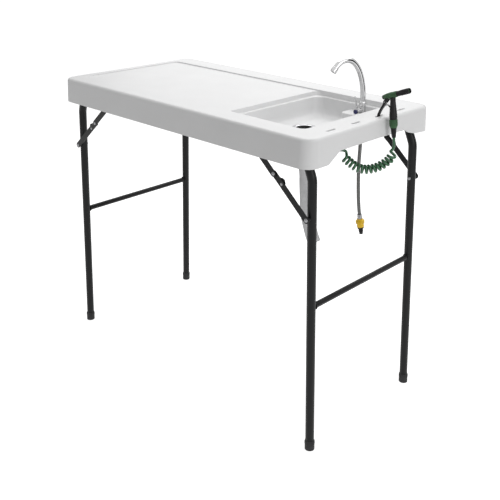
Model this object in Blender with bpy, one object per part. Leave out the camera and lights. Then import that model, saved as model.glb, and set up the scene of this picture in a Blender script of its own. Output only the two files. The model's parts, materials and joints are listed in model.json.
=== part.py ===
"""Folding camp sink station: a moulded table top with a sunk bowl, a tap, a drain, two folding
leg frames and a spray gun on a curly hose that is parked in a slot at the sink end.

Metres, +Z up.  +X points to the sink end and -Y to the user's side.  Heights are above the floor.
Most places are given from the middle of the table top, whose empty carries all the rest, and the
world's origin is under the middle of the whole object, spray gun and feet included.
"""

from math import acos, atan2, cos, degrees, hypot, pi, radians, sin, sqrt, tan

import bmesh
import bpy
from mathutils import Matrix, Vector

# Table top
TOP_LENGTH = 1.154
TOP_WIDTH = 0.597
TOP_HEIGHT = 0.992
APRON_DEPTH = 0.083
APRON_WALL = 0.0085
SKIRT_FLARE = 0.004
PANEL_THICKNESS = 0.018
CORNER_RADIUS = 0.042
EDGE_RADIUS = 0.011
RECESS_DEPTH = 0.004
RECESS_MARGIN = 0.042
GUN_OVERHANG = 0.066
FOOT_OVERHANG = 0.0135
TOP_X = (FOOT_OVERHANG - GUN_OVERHANG) / 2

# Bowl, measured from the sink end and from the two long sides
BOWL_END_MARGIN = 0.090
BOWL_LENGTH = 0.302
BOWL_FRONT_MARGIN = 0.0815
BOWL_BACK_MARGIN = 0.0935
BOWL_DEPTH = 0.077
BOWL_WALL = 0.005
LEDGE_DROP = 0.017
LEDGE_WIDTH = 0.013
MOUTH_CORNER = 0.020
DECK_LENGTH = 0.142
DECK_WIDTH = 0.077
DECK_DROP = 0.037
DRAIN_HOLE = 0.026

# Slots and the cut-out of the sink end's apron
SLOT_LENGTH = 0.039
SLOT_WIDTH = 0.009
SLOT_INSET = 0.034
SLOT_PLACES = (-0.170, -0.057, 0.057, 0.170)
END_CUT_RISE = 0.030
END_CUT_FRONT = 0.164
END_CUT_BACK = 0.152
END_CUT_SLOPE = 0.048

# Leg frames
TUBE_RADIUS = 0.0137
TUBE_WALL = 0.0012
SINK_PIVOT_FROM_END = 0.056
FAR_PIVOT_FROM_END = 0.066
FOOT_OUT = 0.065
BEND_OUT = 0.027
FOOT_INSET_Y = 0.0405
LEG_TOP_INSET_Y = 0.0515
BEND_DROP = 0.124
BEND_RADIUS = 0.060
PIVOT_TUBE_INSET_Y = 0.0365
CROSSBAR_DROP = 0.509
CROSSBAR_RADIUS = 0.0093
CAP_RADIUS = 0.0154
CAP_HEIGHT = 0.032
CAP_FLOOR = 0.005
FAR_PIVOT_DROP = 0.0335
SINK_PIVOT_DROP = 0.0630
BRACKET_INSET_Y = 0.0835
BRACKET_WIDTH = 0.020
SHEET = 0.002
BRACKET_FOOT = 0.014

# Folding stays: flat arms in planes outside the legs
SINK_RIVET_DROP = 0.235
FAR_RIVET_DROP = 0.249
SINK_STAY_FROM_END = 0.252
FAR_STAY_FROM_END = 0.280
STAY_TOP_DROP = 0.034
SINK_LOWER_ARM = 0.1630
FAR_LOWER_ARM = 0.1607
ARM_HALF_WIDTH = 0.0098
ARM_THICKNESS = 0.0022
LOWER_ARM_INSET_Y = 0.0262
RIVET_HEAD = 0.0012
RIVET_HEAD_RADIUS = 0.0055
RIVET_RADIUS = 0.003
KNEE_HEAD_RADIUS = 0.0045
NOTCH_RADIUS = 0.0054
BUSH_RADIUS = 0.007
STAY_BRACKET_LENGTH = 0.026
HOOK_REACH = 0.038
HOOK_HALF_WIDTH = 0.0065
HOOK_EAR = 0.010

# Tap
TAP_FROM_END = 0.176
TAP_FROM_BACK = 0.1285
TAP_BODY_RADIUS = 0.0100
TAP_BODY_HEIGHT = 0.0200
TAP_FLANGE_RADIUS = 0.0165
TAP_FLANGE_HEIGHT = 0.0040
TAP_DOME_RADIUS = 0.0110
TAP_DOME_HEIGHT = 0.0165
SPOUT_RADIUS = 0.0085
SPOUT_RISE = 0.132
SPOUT_HALF_REACH = 0.066
SPOUT_TIP_RADIUS = 0.048
SPOUT_TIP_TURN = radians(53)
SPOUT_TURN = radians(250)
AERATOR_RADIUS = 0.0100
AERATOR_LENGTH = 0.0160
VALVE_RADIUS = 0.0062
VALVE_REACH = 0.0340
VALVE_HEIGHT = 0.0064
VALVE_CAP_RADIUS = 0.0070
VALVE_CAP_LENGTH = 0.0060
LEVER_LENGTH = 0.052
LEVER_BACK = 0.0268
SHANK_RADIUS = 0.0090
SHANK_LENGTH = 0.0360
WING_HEIGHT = 0.0120
WING_SPAN = 0.0230
TEE_RADIUS = 0.0110
TEE_LENGTH = 0.0220
TEE_REACH = 0.0260

# Supply hose and its coupling
SUPPLY_RADIUS = 0.0060
FERRULE_RADIUS = 0.0080
FERRULE_LENGTH = 0.0160
COUPLING_RADIUS = 0.0150
COUPLING_LENGTH = 0.0310
COUPLING_COLLAR_RADIUS = 0.0110
COUPLING_COLLAR = 0.0060
NIPPLE_RADIUS = 0.0080
NIPPLE_LENGTH = 0.0210

# Drain
DRAIN_FROM_END = 0.282
DRAIN_OFF_CENTRE = 0.015
STRAINER_FLANGE = 0.042
STRAINER_BORE = 0.020
STRAINER_LENGTH = 0.046
GASKET_RADIUS = 0.040
GASKET_HEIGHT = 0.003
NUT_RADIUS = 0.036
NUT_HEIGHT = 0.020
TAILPIECE_RADIUS = 0.0145
TAILPIECE_WALL = 0.0025
TAILPIECE_LENGTH = 0.030
DRAIN_HOSE_RADIUS = 0.0185
DRAIN_HOSE_DROP = 0.312
DRAIN_HOSE_LEAN = radians(40)

# Spray gun, parked outside the end apron with its trigger in a slot
GUN_AXIS_OUT = 0.0200
GUN_TILT = radians(6.7)
GUN_TOP = 0.069
GRIP_RADIUS = 0.0100
COLLAR_RADIUS = 0.0123
COLLAR_LENGTH = 0.0245
TAIL_RADIUS = 0.0086
TAIL_LENGTH = 0.0285
HEAD_RISE = radians(21)
NOZZLE_LENGTH = 0.043
NOZZLE_RADIUS = 0.0085
TRIGGER_PIVOT_OUT = -0.0145
TRIGGER_PIVOT_UP = 0.0455
TRIGGER_THICKNESS = 0.0042
TRIGGER_WIDTH = 0.0092
TRIGGER_DEPTH = 0.0110

# Curly hose
CURLY_TUBE = 0.00375
CURL_RADIUS = 0.01075
CURLS = 14.25
POINTS_PER_CURL = 9

# Clearances
GAP = 0.0003
PIN_PLAY = 0.0004

# Levels and faces that follow from the sizes above
RECESS_FLOOR = TOP_HEIGHT - RECESS_DEPTH
UNDERSIDE = TOP_HEIGHT - PANEL_THICKNESS
APRON_BOTTOM = TOP_HEIGHT - APRON_DEPTH
END_X = TOP_LENGTH / 2
SIDE_Y = TOP_WIDTH / 2
BOWL_X0 = END_X - BOWL_END_MARGIN - BOWL_LENGTH
BOWL_X1 = END_X - BOWL_END_MARGIN
BOWL_Y0 = -SIDE_Y + BOWL_FRONT_MARGIN
BOWL_Y1 = SIDE_Y - BOWL_BACK_MARGIN
BOWL_FLOOR = TOP_HEIGHT - BOWL_DEPTH
DECK_TOP = TOP_HEIGHT - DECK_DROP
SLOT_X = END_X - SLOT_INSET
TAP_X = END_X - TAP_FROM_END
TAP_Y = SIDE_Y - TAP_FROM_BACK
DRAIN_X = END_X - DRAIN_FROM_END
DRAIN_Y = DRAIN_OFF_CENTRE
SPOUT_BASE = DECK_TOP + TAP_FLANGE_HEIGHT + TAP_BODY_HEIGHT + TAP_DOME_HEIGHT
VALVE_Z = DECK_TOP + TAP_FLANGE_HEIGHT + VALVE_HEIGHT
GUN_Y = SLOT_PLACES[2]
STAY_TOP_Z = TOP_HEIGHT - STAY_TOP_DROP
FOOT_Y = SIDE_Y - FOOT_INSET_Y
LEG_TOP_Y = SIDE_Y - LEG_TOP_INSET_Y
LOWER_ARM_Y = SIDE_Y - LOWER_ARM_INSET_Y
UPPER_ARM_Y = LOWER_ARM_Y + ARM_THICKNESS + RIVET_HEAD + GAP
STAY_PLATE_Y = UPPER_ARM_Y + ARM_THICKNESS + GAP
HOOK_Y = LOWER_ARM_Y - GAP - ARM_THICKNESS
BEND_HEIGHT = TOP_HEIGHT - BEND_DROP
CROSSBAR_HEIGHT = TOP_HEIGHT - CROSSBAR_DROP
LEAN_X = atan2(FOOT_OUT - BEND_OUT, BEND_HEIGHT)
FOLD = pi / 2 + LEAN_X

FRONT = -1
BACK = 1
ENDS = {"sink": 1, "far": -1}
SIDES = {"front": FRONT, "back": BACK}
PIVOT_X = {"sink": END_X - SINK_PIVOT_FROM_END, "far": END_X - FAR_PIVOT_FROM_END}
PIVOT_Z = {"sink": TOP_HEIGHT - SINK_PIVOT_DROP, "far": TOP_HEIGHT - FAR_PIVOT_DROP}
STAY_TOP_X = {"sink": END_X - SINK_STAY_FROM_END, "far": END_X - FAR_STAY_FROM_END}
LOWER_ARM = {"sink": SINK_LOWER_ARM, "far": FAR_LOWER_ARM}
RIVET_HEIGHT = {"sink": TOP_HEIGHT - SINK_RIVET_DROP, "far": TOP_HEIGHT - FAR_RIVET_DROP}

# Colour, roughness and metallic value of each finish
WHITE_PLASTIC = ((0.86, 0.87, 0.88), 0.42, 0.0)
BLACK_STEEL = ((0.030, 0.031, 0.033), 0.45, 0.3)
BARE_STEEL = ((0.62, 0.62, 0.62), 0.32, 1.0)
CHROME = ((0.80, 0.80, 0.81), 0.08, 1.0)
BLACK_PLASTIC = ((0.025, 0.025, 0.026), 0.50, 0.0)
BLACK_RUBBER = ((0.020, 0.020, 0.020), 0.80, 0.0)
GREEN_PLASTIC = ((0.035, 0.110, 0.045), 0.42, 0.0)
GREEN_HOSE = ((0.030, 0.120, 0.050), 0.35, 0.0)
YELLOW_PLASTIC = ((0.75, 0.48, 0.03), 0.40, 0.0)
BLUE_PLASTIC = ((0.012, 0.014, 0.110), 0.30, 0.0)
WHITE_HOSE = ((0.78, 0.79, 0.80), 0.50, 0.0)
BRAID = ((0.55, 0.55, 0.56), 0.40, 0.9)
WHITE_NUT = ((0.82, 0.82, 0.82), 0.45, 0.0)


def clear_scene():
    for old in list(bpy.data.objects):
        bpy.data.objects.remove(old, do_unlink=True)


def make_body(name, pivot, parent=None):
    """An empty on a body's joint axis, which carries the body's pieces."""
    empty = bpy.data.objects.new("body_" + name, None)
    bpy.context.scene.collection.objects.link(empty)
    empty["pivot"] = tuple(pivot)
    if parent is None:
        empty.location = pivot
    else:
        empty.parent = parent
        empty.location = Vector(pivot) - Vector(parent["pivot"])
    return empty


def make_material(name, finish):
    colour, roughness, metallic = finish
    material = bpy.data.materials.new(name)
    material.use_nodes = True
    shader = material.node_tree.nodes["Principled BSDF"]
    shader.inputs["Base Color"].default_value = (*colour, 1.0)
    shader.inputs["Roughness"].default_value = roughness
    shader.inputs["Metallic"].default_value = metallic
    material.diffuse_color = (*colour, 1.0)
    return material


def smooth_by_angle(mesh, limit=radians(35)):
    mesh.shade_smooth()
    mesh.set_sharp_from_angle(angle=limit)


def link_mesh(name, bm):
    """A hidden working object from a bmesh with its faces pointing out."""
    bmesh.ops.recalc_face_normals(bm, faces=bm.faces)
    mesh = bpy.data.meshes.new(name)
    bm.to_mesh(mesh)
    bm.free()
    obj = bpy.data.objects.new(name, mesh)
    bpy.context.scene.collection.objects.link(obj)
    return obj


def combine(base, tools, operation):
    """Join tools to base, or cut them out of it, and remove them."""
    for tool in tools:
        modifier = base.modifiers.new("combine", "BOOLEAN")
        modifier.operation = operation
        modifier.solver = "EXACT"
        modifier.object = tool
    bpy.context.view_layer.update()
    graph = bpy.context.evaluated_depsgraph_get()
    result = bpy.data.meshes.new_from_object(base.evaluated_get(graph))
    base.modifiers.clear()
    base.data = result
    for tool in tools:
        bpy.data.objects.remove(tool, do_unlink=True)
    return base


def cut(base, *tools):
    return combine(base, tools, "DIFFERENCE")


def join(base, *tools):
    return combine(base, tools, "UNION")


def add_piece(obj, name, finish, body):
    """Name a working object, give it its finish and hang it on its body's empty."""
    obj.name = name
    obj.data.name = name
    obj.data.materials.clear()
    obj.data.materials.append(make_material(name, finish))
    if obj.type == "MESH":
        obj.data.transform(Matrix.Translation(-Vector(body["pivot"])))
        smooth_by_angle(obj.data)
    obj.parent = body
    return obj


def skin(rings, wrap=False):
    """Faces over rings of equally many points: capped at both ends, or wrapped into a ring."""
    bm = bmesh.new()
    loops = [[bm.verts.new(point) for point in ring] for ring in rings]
    count = len(rings[0])
    pairs = list(zip(loops, loops[1:]))
    if wrap:
        pairs.append((loops[-1], loops[0]))
    for low, high in pairs:
        for i in range(count):
            j = (i + 1) % count
            bm.faces.new((low[i], low[j], high[j], high[i]))
    if not wrap:
        bm.faces.new(loops[0])
        bm.faces.new(loops[-1])
    return bm


def circle(centre, across, up, radius, sides, turn=0.0):
    return [
        Vector(centre)
        + across * radius * cos(2 * pi * i / sides + turn)
        + up * radius * sin(2 * pi * i / sides + turn)
        for i in range(sides)
    ]


def square_axes(direction):
    """Two directions square to the one given and to each other."""
    direction = Vector(direction).normalized()
    helper = Vector((0, 1, 0)) if abs(direction.y) < 0.9 else Vector((1, 0, 0))
    across = helper.cross(direction).normalized()
    return across, direction.cross(across)


def turned(start, direction, profile, sides=24, wrap=False):
    """A turned solid: profile is (radius, distance along the axis from start)."""
    direction = Vector(direction).normalized()
    across, up = square_axes(direction)
    rings = [circle(Vector(start) + direction * h, across, up, r, sides) for r, h in profile]
    return link_mesh("turned", skin(rings, wrap))


def tangents(points):
    result = []
    for i in range(len(points)):
        before = points[max(i - 1, 0)]
        after = points[min(i + 1, len(points) - 1)]
        result.append((after - before).normalized())
    return result


def swept_rings(points, radii, sides, squeeze=1.0):
    """Circles square to a path, carried along it without twist."""
    points = [Vector(p) for p in points]
    ways = tangents(points)
    across, up = square_axes(ways[0])
    rings = []
    for point, way, radius in zip(points, ways, radii):
        across = (across - way * across.dot(way)).normalized()
        up = way.cross(across)
        rings.append(circle(point, across * squeeze, up, radius, sides))
    return rings


def swept(points, radii, sides=16, bore=None, squeeze=1.0):
    """A rod along a path, or an open-ended pipe if a bore radius is given."""
    outer = swept_rings(points, radii, sides, squeeze)
    if bore is None:
        return link_mesh("swept", skin(outer))
    inner = swept_rings(points, [bore] * len(points), sides)
    return link_mesh("swept", skin(outer + inner[::-1], wrap=True))


def prism(outline, plane, low, high):
    """An outline extruded square to a plane: "xy" along Z, "xz" along Y or "yz" along X."""
    place = {
        "xy": lambda a, b, c: Vector((a, b, c)),
        "xz": lambda a, b, c: Vector((a, c, b)),
        "yz": lambda a, b, c: Vector((c, a, b)),
    }[plane]
    rings = [[place(a, b, level) for a, b in outline] for level in (low, high)]
    return link_mesh("prism", skin(rings))


def arc(centre, radius, start, stop, steps):
    return [
        (
            centre[0] + radius * cos(start + (stop - start) * i / steps),
            centre[1] + radius * sin(start + (stop - start) * i / steps),
        )
        for i in range(steps + 1)
    ]


def rounded_rectangle(x0, x1, y0, y1, radius, steps=6):
    points = []
    for cx, cy, start in (
        (x1 - radius, y0 + radius, -pi / 2),
        (x1 - radius, y1 - radius, 0),
        (x0 + radius, y1 - radius, pi / 2),
        (x0 + radius, y0 + radius, pi),
    ):
        points += arc((cx, cy), radius, start, start + pi / 2, steps)
    return points


def bar_outline(start, stop, radius, steps=6):
    """A flat bar with round ends between two points."""
    angle = atan2(stop[1] - start[1], stop[0] - start[0])
    far_end = arc(stop, radius, angle - pi / 2, angle + pi / 2, steps)
    near_end = arc(start, radius, angle + pi / 2, angle + 3 * pi / 2, steps)
    return far_end + near_end


def rounded_path(points, radius, steps=5):
    """A path of straight runs whose corners are arcs."""
    points = [Vector(p) for p in points]
    path = [points[0]]
    for before, corner, after in zip(points, points[1:], points[2:]):
        way_in = (corner - before).normalized()
        way_out = (after - corner).normalized()
        turn = acos(max(-1.0, min(1.0, way_in.dot(way_out))))
        reach = radius * tan(turn / 2)
        start = corner - way_in * reach
        normal = (way_out - way_in * way_out.dot(way_in)).normalized()
        centre = start + normal * radius
        for i in range(steps + 1):
            angle = turn * i / steps
            path.append(centre - normal * radius * cos(angle) + way_in * radius * sin(angle))
    path.append(points[-1])
    return path


def smooth_curve(points, spacing):
    """Evenly spaced points on one smooth curve through a route's own points."""
    points = [Vector(p) for p in points]
    padded = [points[0] * 2 - points[1]] + points + [points[-1] * 2 - points[-2]]
    fine = []
    steps = 24
    for a, b, c, d in zip(padded, padded[1:], padded[2:], padded[3:]):
        for i in range(steps):
            t = i / steps
            fine.append(
                (
                    b * 2
                    + (c - a) * t
                    + (a * 2 - b * 5 + c * 4 - d) * t * t
                    + (b * 3 - a - c * 3 + d) * t * t * t
                )
                / 2
            )
    fine.append(points[-1])
    walked = [0.0]
    for p, q in zip(fine, fine[1:]):
        walked.append(walked[-1] + (q - p).length)
    count = max(2, round(walked[-1] / spacing))
    result = []
    k = 0
    for i in range(count + 1):
        goal = walked[-1] * i / count
        while k < len(fine) - 2 and walked[k + 1] < goal:
            k += 1
        share = (goal - walked[k]) / (walked[k + 1] - walked[k])
        result.append(fine[k].lerp(fine[k + 1], share))
    return result


def path_length(points):
    return sum((q - p).length for p, q in zip(points, points[1:]))


def tube_curve(points, radius, resolution, body):
    """A cord's solid: a poly curve with a round section and filled caps."""
    curve = bpy.data.curves.new("tube", "CURVE")
    curve.dimensions = "3D"
    curve.bevel_depth = radius
    curve.bevel_resolution = resolution
    curve.use_fill_caps = True
    spline = curve.splines.new("POLY")
    spline.points.add(len(points) - 1)
    origin = Vector(body["pivot"])
    for knot, point in zip(spline.points, points):
        knot.co = (*(Vector(point) - origin), 1.0)
    obj = bpy.data.objects.new("tube", curve)
    bpy.context.scene.collection.objects.link(obj)
    return obj


def rounded_block(x0, x1, y0, y1, z0, z1, corner, edge, steps=8, edge_steps=4):
    """The top's outer block: round corners in plan, a flared skirt and a round upper edge."""
    rings = [[Vector((x, y, z0)) for x, y in rounded_rectangle(x0, x1, y0, y1, corner, steps)]]
    for i in range(edge_steps + 1):
        angle = pi / 2 * i / edge_steps
        inset = SKIRT_FLARE + edge * (1 - cos(angle))
        z = z1 - edge + edge * sin(angle)
        outline = rounded_rectangle(x0 + inset, x1 - inset, y0 + inset, y1 - inset, corner - inset, steps)
        rings.append([Vector((x, y, z)) for x, y in outline])
    return link_mesh("block", skin(rings))


def bowl_stack(levels):
    """A bowl shape from (height, inset from the mouth, corner radius) levels."""
    rings = []
    for z, inset, corner in levels:
        outline = rounded_rectangle(
            BOWL_X0 + inset, BOWL_X1 - inset, BOWL_Y0 + inset, BOWL_Y1 - inset, corner, 6
        )
        rings.append([Vector((x, y, z)) for x, y in outline])
    return link_mesh("bowl", skin(rings))


def bowl_levels(wall):
    """The bowl's inner face, or with a wall its outer face, from the floor up to the ledge."""
    ledge = TOP_HEIGHT - LEDGE_DROP - wall
    floor = BOWL_FLOOR - wall
    deep = LEDGE_WIDTH + 0.002 - wall
    return [
        (floor, deep + 0.043, 0.030 + wall),
        (floor + 0.0006, deep + 0.034, 0.032 + wall),
        (floor + 0.0045, deep + 0.020, 0.034 + wall),
        (floor + 0.0120, deep + 0.010, 0.036 + wall),
        (floor + 0.0250, deep + 0.005, 0.034 + wall),
        (ledge - 0.0015, deep + 0.0005, 0.030 + wall),
        (ledge, deep - 0.001, 0.030 + wall),
        (ledge + 0.0004, 0.003 - wall, MOUTH_CORNER + wall),
    ]


def table_top(body):
    top = rounded_block(
        -END_X, END_X, -SIDE_Y, SIDE_Y, APRON_BOTTOM, TOP_HEIGHT, CORNER_RADIUS, EDGE_RADIUS
    )
    cavity = prism(
        rounded_rectangle(
            APRON_WALL - END_X,
            END_X - APRON_WALL,
            APRON_WALL - SIDE_Y,
            SIDE_Y - APRON_WALL,
            CORNER_RADIUS - APRON_WALL,
            8,
        ),
        "xy",
        APRON_BOTTOM - 0.010,
        UNDERSIDE,
    )
    cut(top, cavity)
    shell = bowl_levels(BOWL_WALL)
    join(top, bowl_stack(shell + [(UNDERSIDE + 0.006, shell[-1][1], shell[-1][2])]))

    deck_x = BOWL_X1 - DECK_LENGTH
    deck_y = BOWL_Y1 - DECK_WIDTH
    hollow = bowl_levels(0.0)
    hollow += [(RECESS_FLOOR, 0.0, MOUTH_CORNER), (TOP_HEIGHT + 0.010, 0.0, MOUTH_CORNER)]
    bowl = bowl_stack(hollow)
    deck_outline = rounded_rectangle(deck_x, END_X, deck_y, SIDE_Y, 0.016, 5)
    cut(bowl, prism(deck_outline, "xy", BOWL_FLOOR - 0.020, DECK_TOP))
    recess = prism(
        rounded_rectangle(
            RECESS_MARGIN - END_X, BOWL_X1, BOWL_Y0, BOWL_Y1, MOUTH_CORNER, 6
        ),
        "xy",
        RECESS_FLOOR,
        TOP_HEIGHT + 0.010,
    )
    under_deck = prism(
        rounded_rectangle(
            deck_x + BOWL_WALL, BOWL_X1, deck_y + BOWL_WALL, BOWL_Y1, 0.011, 5
        ),
        "xy",
        BOWL_FLOOR - 0.020,
        DECK_TOP - BOWL_WALL - 0.001,
    )
    cut(top, bowl, recess, under_deck)

    slots = []
    for y in SLOT_PLACES:
        half_run = (SLOT_LENGTH - SLOT_WIDTH) / 2
        outline = bar_outline((SLOT_X, y - half_run), (SLOT_X, y + half_run), SLOT_WIDTH / 2, 5)
        slots.append(prism(outline, "xy", UNDERSIDE - 0.01, TOP_HEIGHT + 0.01))
    drain = turned((DRAIN_X, DRAIN_Y, BOWL_FLOOR - 0.02), (0, 0, 1), [(DRAIN_HOLE, 0), (DRAIN_HOLE, 0.04)])
    tap = turned(
        (TAP_X, TAP_Y, DECK_TOP - 0.02), (0, 0, 1), [(SHANK_RADIUS + 0.001, 0), (SHANK_RADIUS + 0.001, 0.04)]
    )
    cut_top = APRON_BOTTOM + END_CUT_RISE
    cut_corners = [
        (-END_CUT_FRONT - END_CUT_SLOPE * 1.4, APRON_BOTTOM - 0.0110, 0),
        (-END_CUT_FRONT - END_CUT_SLOPE, APRON_BOTTOM + 0.0020, 0),
        (-END_CUT_FRONT, cut_top, 0),
        (END_CUT_BACK, cut_top, 0),
        (END_CUT_BACK + 0.020, cut_top - 0.0130, 0),
        (END_CUT_BACK + 0.053, APRON_BOTTOM + 0.0080, 0),
        (END_CUT_BACK + 0.128, APRON_BOTTOM + 0.0015, 0),
        (END_CUT_BACK + 0.138, APRON_BOTTOM - 0.0110, 0),
    ]
    outline = [(p.x, p.y) for p in rounded_path(cut_corners, 0.008, 3)]
    end_cut = prism(outline[::-1], "yz", END_X - 0.030, END_X + 0.010)
    cut(top, *slots, drain, tap, end_cut)
    add_piece(top, "table_top", WHITE_PLASTIC, body)


def leg_at(height):
    """How far out from its pivot, and from the middle line, a leg is at that height."""
    share = (BEND_HEIGHT - height) / BEND_HEIGHT
    return BEND_OUT + share * (FOOT_OUT - BEND_OUT), LEG_TOP_Y + share * (FOOT_Y - LEG_TOP_Y)


def leg_path(end_name, side):
    """A leg's centre line from its lower end to the pivot tube."""
    end = ENDS[end_name]
    pivot_x = PIVOT_X[end_name]
    foot = Vector(((pivot_x + FOOT_OUT) * end, FOOT_Y * side, 0))
    bend = Vector(((pivot_x + BEND_OUT) * end, LEG_TOP_Y * side, BEND_HEIGHT))
    pivot = Vector((pivot_x * end, LEG_TOP_Y * side, PIVOT_Z[end_name]))
    up = (bend - foot).normalized()
    bottom = foot + up * ((CAP_FLOOR + GAP) / up.z)
    top = pivot - (pivot - bend).normalized() * (TUBE_RADIUS + GAP)
    return rounded_path([bottom, bend, top], BEND_RADIUS, 5)


def leg_frame(end_name, body):
    end = ENDS[end_name]
    pivot_x = PIVOT_X[end_name] * end
    pivot_z = PIVOT_Z[end_name]
    for side_name, side in SIDES.items():
        path = leg_path(end_name, side)
        leg = swept(path, [TUBE_RADIUS] * len(path), 16, TUBE_RADIUS - TUBE_WALL)
        rivet_out, rivet_y = leg_at(RIVET_HEIGHT[end_name])
        start = rivet_y + TUBE_RADIUS - 0.0008
        seat = LOWER_ARM_Y - GAP
        tip = LOWER_ARM_Y + ARM_THICKNESS + GAP
        rivet = turned(
            (pivot_x + rivet_out * end, start * side, RIVET_HEIGHT[end_name]),
            (0, side, 0),
            [
                (BUSH_RADIUS, 0),
                (BUSH_RADIUS, seat - start),
                (RIVET_RADIUS, seat - start),
                (RIVET_RADIUS, tip - start),
                (RIVET_HEAD_RADIUS, tip - start),
                (RIVET_HEAD_RADIUS * 0.6, tip + 0.0020 - start),
            ],
            16,
        )
        join(leg, rivet)
        add_piece(leg, f"{end_name}_leg_{side_name}", BLACK_STEEL, body)
        add_piece(foot_cap(path), f"{end_name}_foot_{side_name}", BLACK_RUBBER, body)
    half = SIDE_Y - PIVOT_TUBE_INSET_Y
    tube = swept(
        [(pivot_x, -half, pivot_z), (pivot_x, half, pivot_z)],
        [TUBE_RADIUS] * 2,
        16,
        TUBE_RADIUS - TUBE_WALL,
    )
    add_piece(tube, f"{end_name}_pivot_tube", BLACK_STEEL, body)
    bar_out, bar_y = leg_at(CROSSBAR_HEIGHT)
    bar_x = pivot_x + bar_out * end
    bar_y -= TUBE_RADIUS + GAP
    bar = swept(
        [(bar_x, -bar_y, CROSSBAR_HEIGHT), (bar_x, bar_y, CROSSBAR_HEIGHT)],
        [CROSSBAR_RADIUS] * 2,
        12,
        CROSSBAR_RADIUS - TUBE_WALL,
    )
    add_piece(bar, f"{end_name}_crossbar", BLACK_STEEL, body)


def foot_cap(path):
    """A moulded cap round the leg's lower end, flat on the floor."""
    up = (path[1] - path[0]).normalized()
    below = 0.006
    start = path[0] - up * (path[0].z / up.z + below)
    floor = (path[0] - start).length - GAP
    inner = TUBE_RADIUS + GAP
    top = CAP_HEIGHT + below
    profile = [
        (CAP_RADIUS, 0),
        (CAP_RADIUS, top - 0.0015),
        (CAP_RADIUS - 0.0008, top),
        (inner, top),
        (inner, floor),
    ]
    cap = turned(start, up, profile, 20)
    below_floor = prism(
        rounded_rectangle(start.x - 0.03, start.x + 0.03, start.y - 0.03, start.y + 0.03, 0.005, 2),
        "xy",
        -0.02,
        0.0,
    )
    return cut(cap, below_floor)


def pivot_bracket(end_name, side_name, body):
    """A strap under the pivot tube, with two feet screwed to the top's underside."""
    x = PIVOT_X[end_name] * ENDS[end_name]
    z = PIVOT_Z[end_name]
    inner = TUBE_RADIUS + PIN_PLAY
    outer = inner + SHEET
    seat = UNDERSIDE - GAP
    outline = [(x - outer - BRACKET_FOOT, seat), (x - outer - BRACKET_FOOT, seat - SHEET)]
    outline += [(x - outer, seat - SHEET)]
    outline += arc((x, z), outer, pi, 2 * pi, 10)
    outline += [(x + outer, seat - SHEET), (x + outer + BRACKET_FOOT, seat - SHEET)]
    outline += [(x + outer + BRACKET_FOOT, seat), (x + inner, seat)]
    outline += arc((x, z), inner, 2 * pi, pi, 10)
    outline += [(x - inner, seat)]
    y = (SIDE_Y - BRACKET_INSET_Y) * SIDES[side_name]
    strap = prism(outline, "xz", y - BRACKET_WIDTH / 2, y + BRACKET_WIDTH / 2)
    add_piece(strap, f"{end_name}_pivot_bracket_{side_name}", BLACK_STEEL, body)


def stay_bracket(end_name, side_name, body):
    """An angle plate under the top with the rivet that the upper stay swings on."""
    side = SIDES[side_name]
    x = STAY_TOP_X[end_name] * ENDS[end_name]
    half = STAY_BRACKET_LENGTH / 2
    seat = UNDERSIDE - GAP
    inner = STAY_PLATE_Y
    outer = STAY_PLATE_Y + SHEET
    flange_in = inner - 0.020
    section = [
        (inner * side, STAY_TOP_Z - 0.010),
        (outer * side, STAY_TOP_Z - 0.010),
        (outer * side, seat),
        (flange_in * side, seat),
        (flange_in * side, seat - SHEET),
        (inner * side, seat - SHEET),
    ]
    plate = prism(section, "yz", x - half, x + half)
    head = UPPER_ARM_Y - GAP - RIVET_HEAD + PIN_PLAY
    rivet = turned(
        (x, (outer - SHEET / 2) * side, STAY_TOP_Z),
        (0, -side, 0),
        [
            (RIVET_RADIUS, 0),
            (RIVET_RADIUS, outer - SHEET / 2 - UPPER_ARM_Y + GAP),
            (RIVET_HEAD_RADIUS, outer - SHEET / 2 - UPPER_ARM_Y + GAP),
            (RIVET_HEAD_RADIUS, outer - SHEET / 2 - head),
        ],
        12,
    )
    join(plate, rivet)
    add_piece(plate, f"{end_name}_stay_bracket_{side_name}", BLACK_STEEL, body)


def fold_turn(point, end_name):
    """Where a leg frame's point, in the X-Z plane, lies once the frame is folded."""
    end = ENDS[end_name]
    pivot_x = PIVOT_X[end_name] * end
    x = point[0] - pivot_x
    z = point[1] - PIVOT_Z[end_name]
    angle = FOLD * end
    return (
        pivot_x + x * cos(angle) + z * sin(angle),
        PIVOT_Z[end_name] - x * sin(angle) + z * cos(angle),
    )


def stay_points(end_name):
    """The stay's top pivot, its knee and its leg rivet at rest, and the knee and rivet folded."""
    end = ENDS[end_name]
    top = (STAY_TOP_X[end_name] * end, STAY_TOP_Z)
    rivet = ((PIVOT_X[end_name] + leg_at(RIVET_HEIGHT[end_name])[0]) * end, RIVET_HEIGHT[end_name])
    whole = hypot(rivet[0] - top[0], rivet[1] - top[1])
    share = LOWER_ARM[end_name] / whole
    knee = (rivet[0] + (top[0] - rivet[0]) * share, rivet[1] + (top[1] - rivet[1]) * share)
    upper = whole - LOWER_ARM[end_name]
    folded = fold_turn(rivet, end_name)
    span = hypot(folded[0] - top[0], folded[1] - top[1])
    along = (upper**2 - LOWER_ARM[end_name] ** 2 + span**2) / (2 * span)
    off = sqrt(upper**2 - along**2)
    way = ((folded[0] - top[0]) / span, (folded[1] - top[1]) / span)
    folded_knee = (
        top[0] + way[0] * along + way[1] * off * end,
        top[1] + way[1] * along - way[0] * off * end,
    )
    return top, knee, rivet, folded_knee, folded


def turn_about_y(start, stop):
    """The right-handed turn about +Y, in radians, that brings one X-Z direction to another."""
    turn = atan2(start[1], start[0]) - atan2(stop[1], stop[0])
    return (turn + pi) % (2 * pi) - pi


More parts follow.
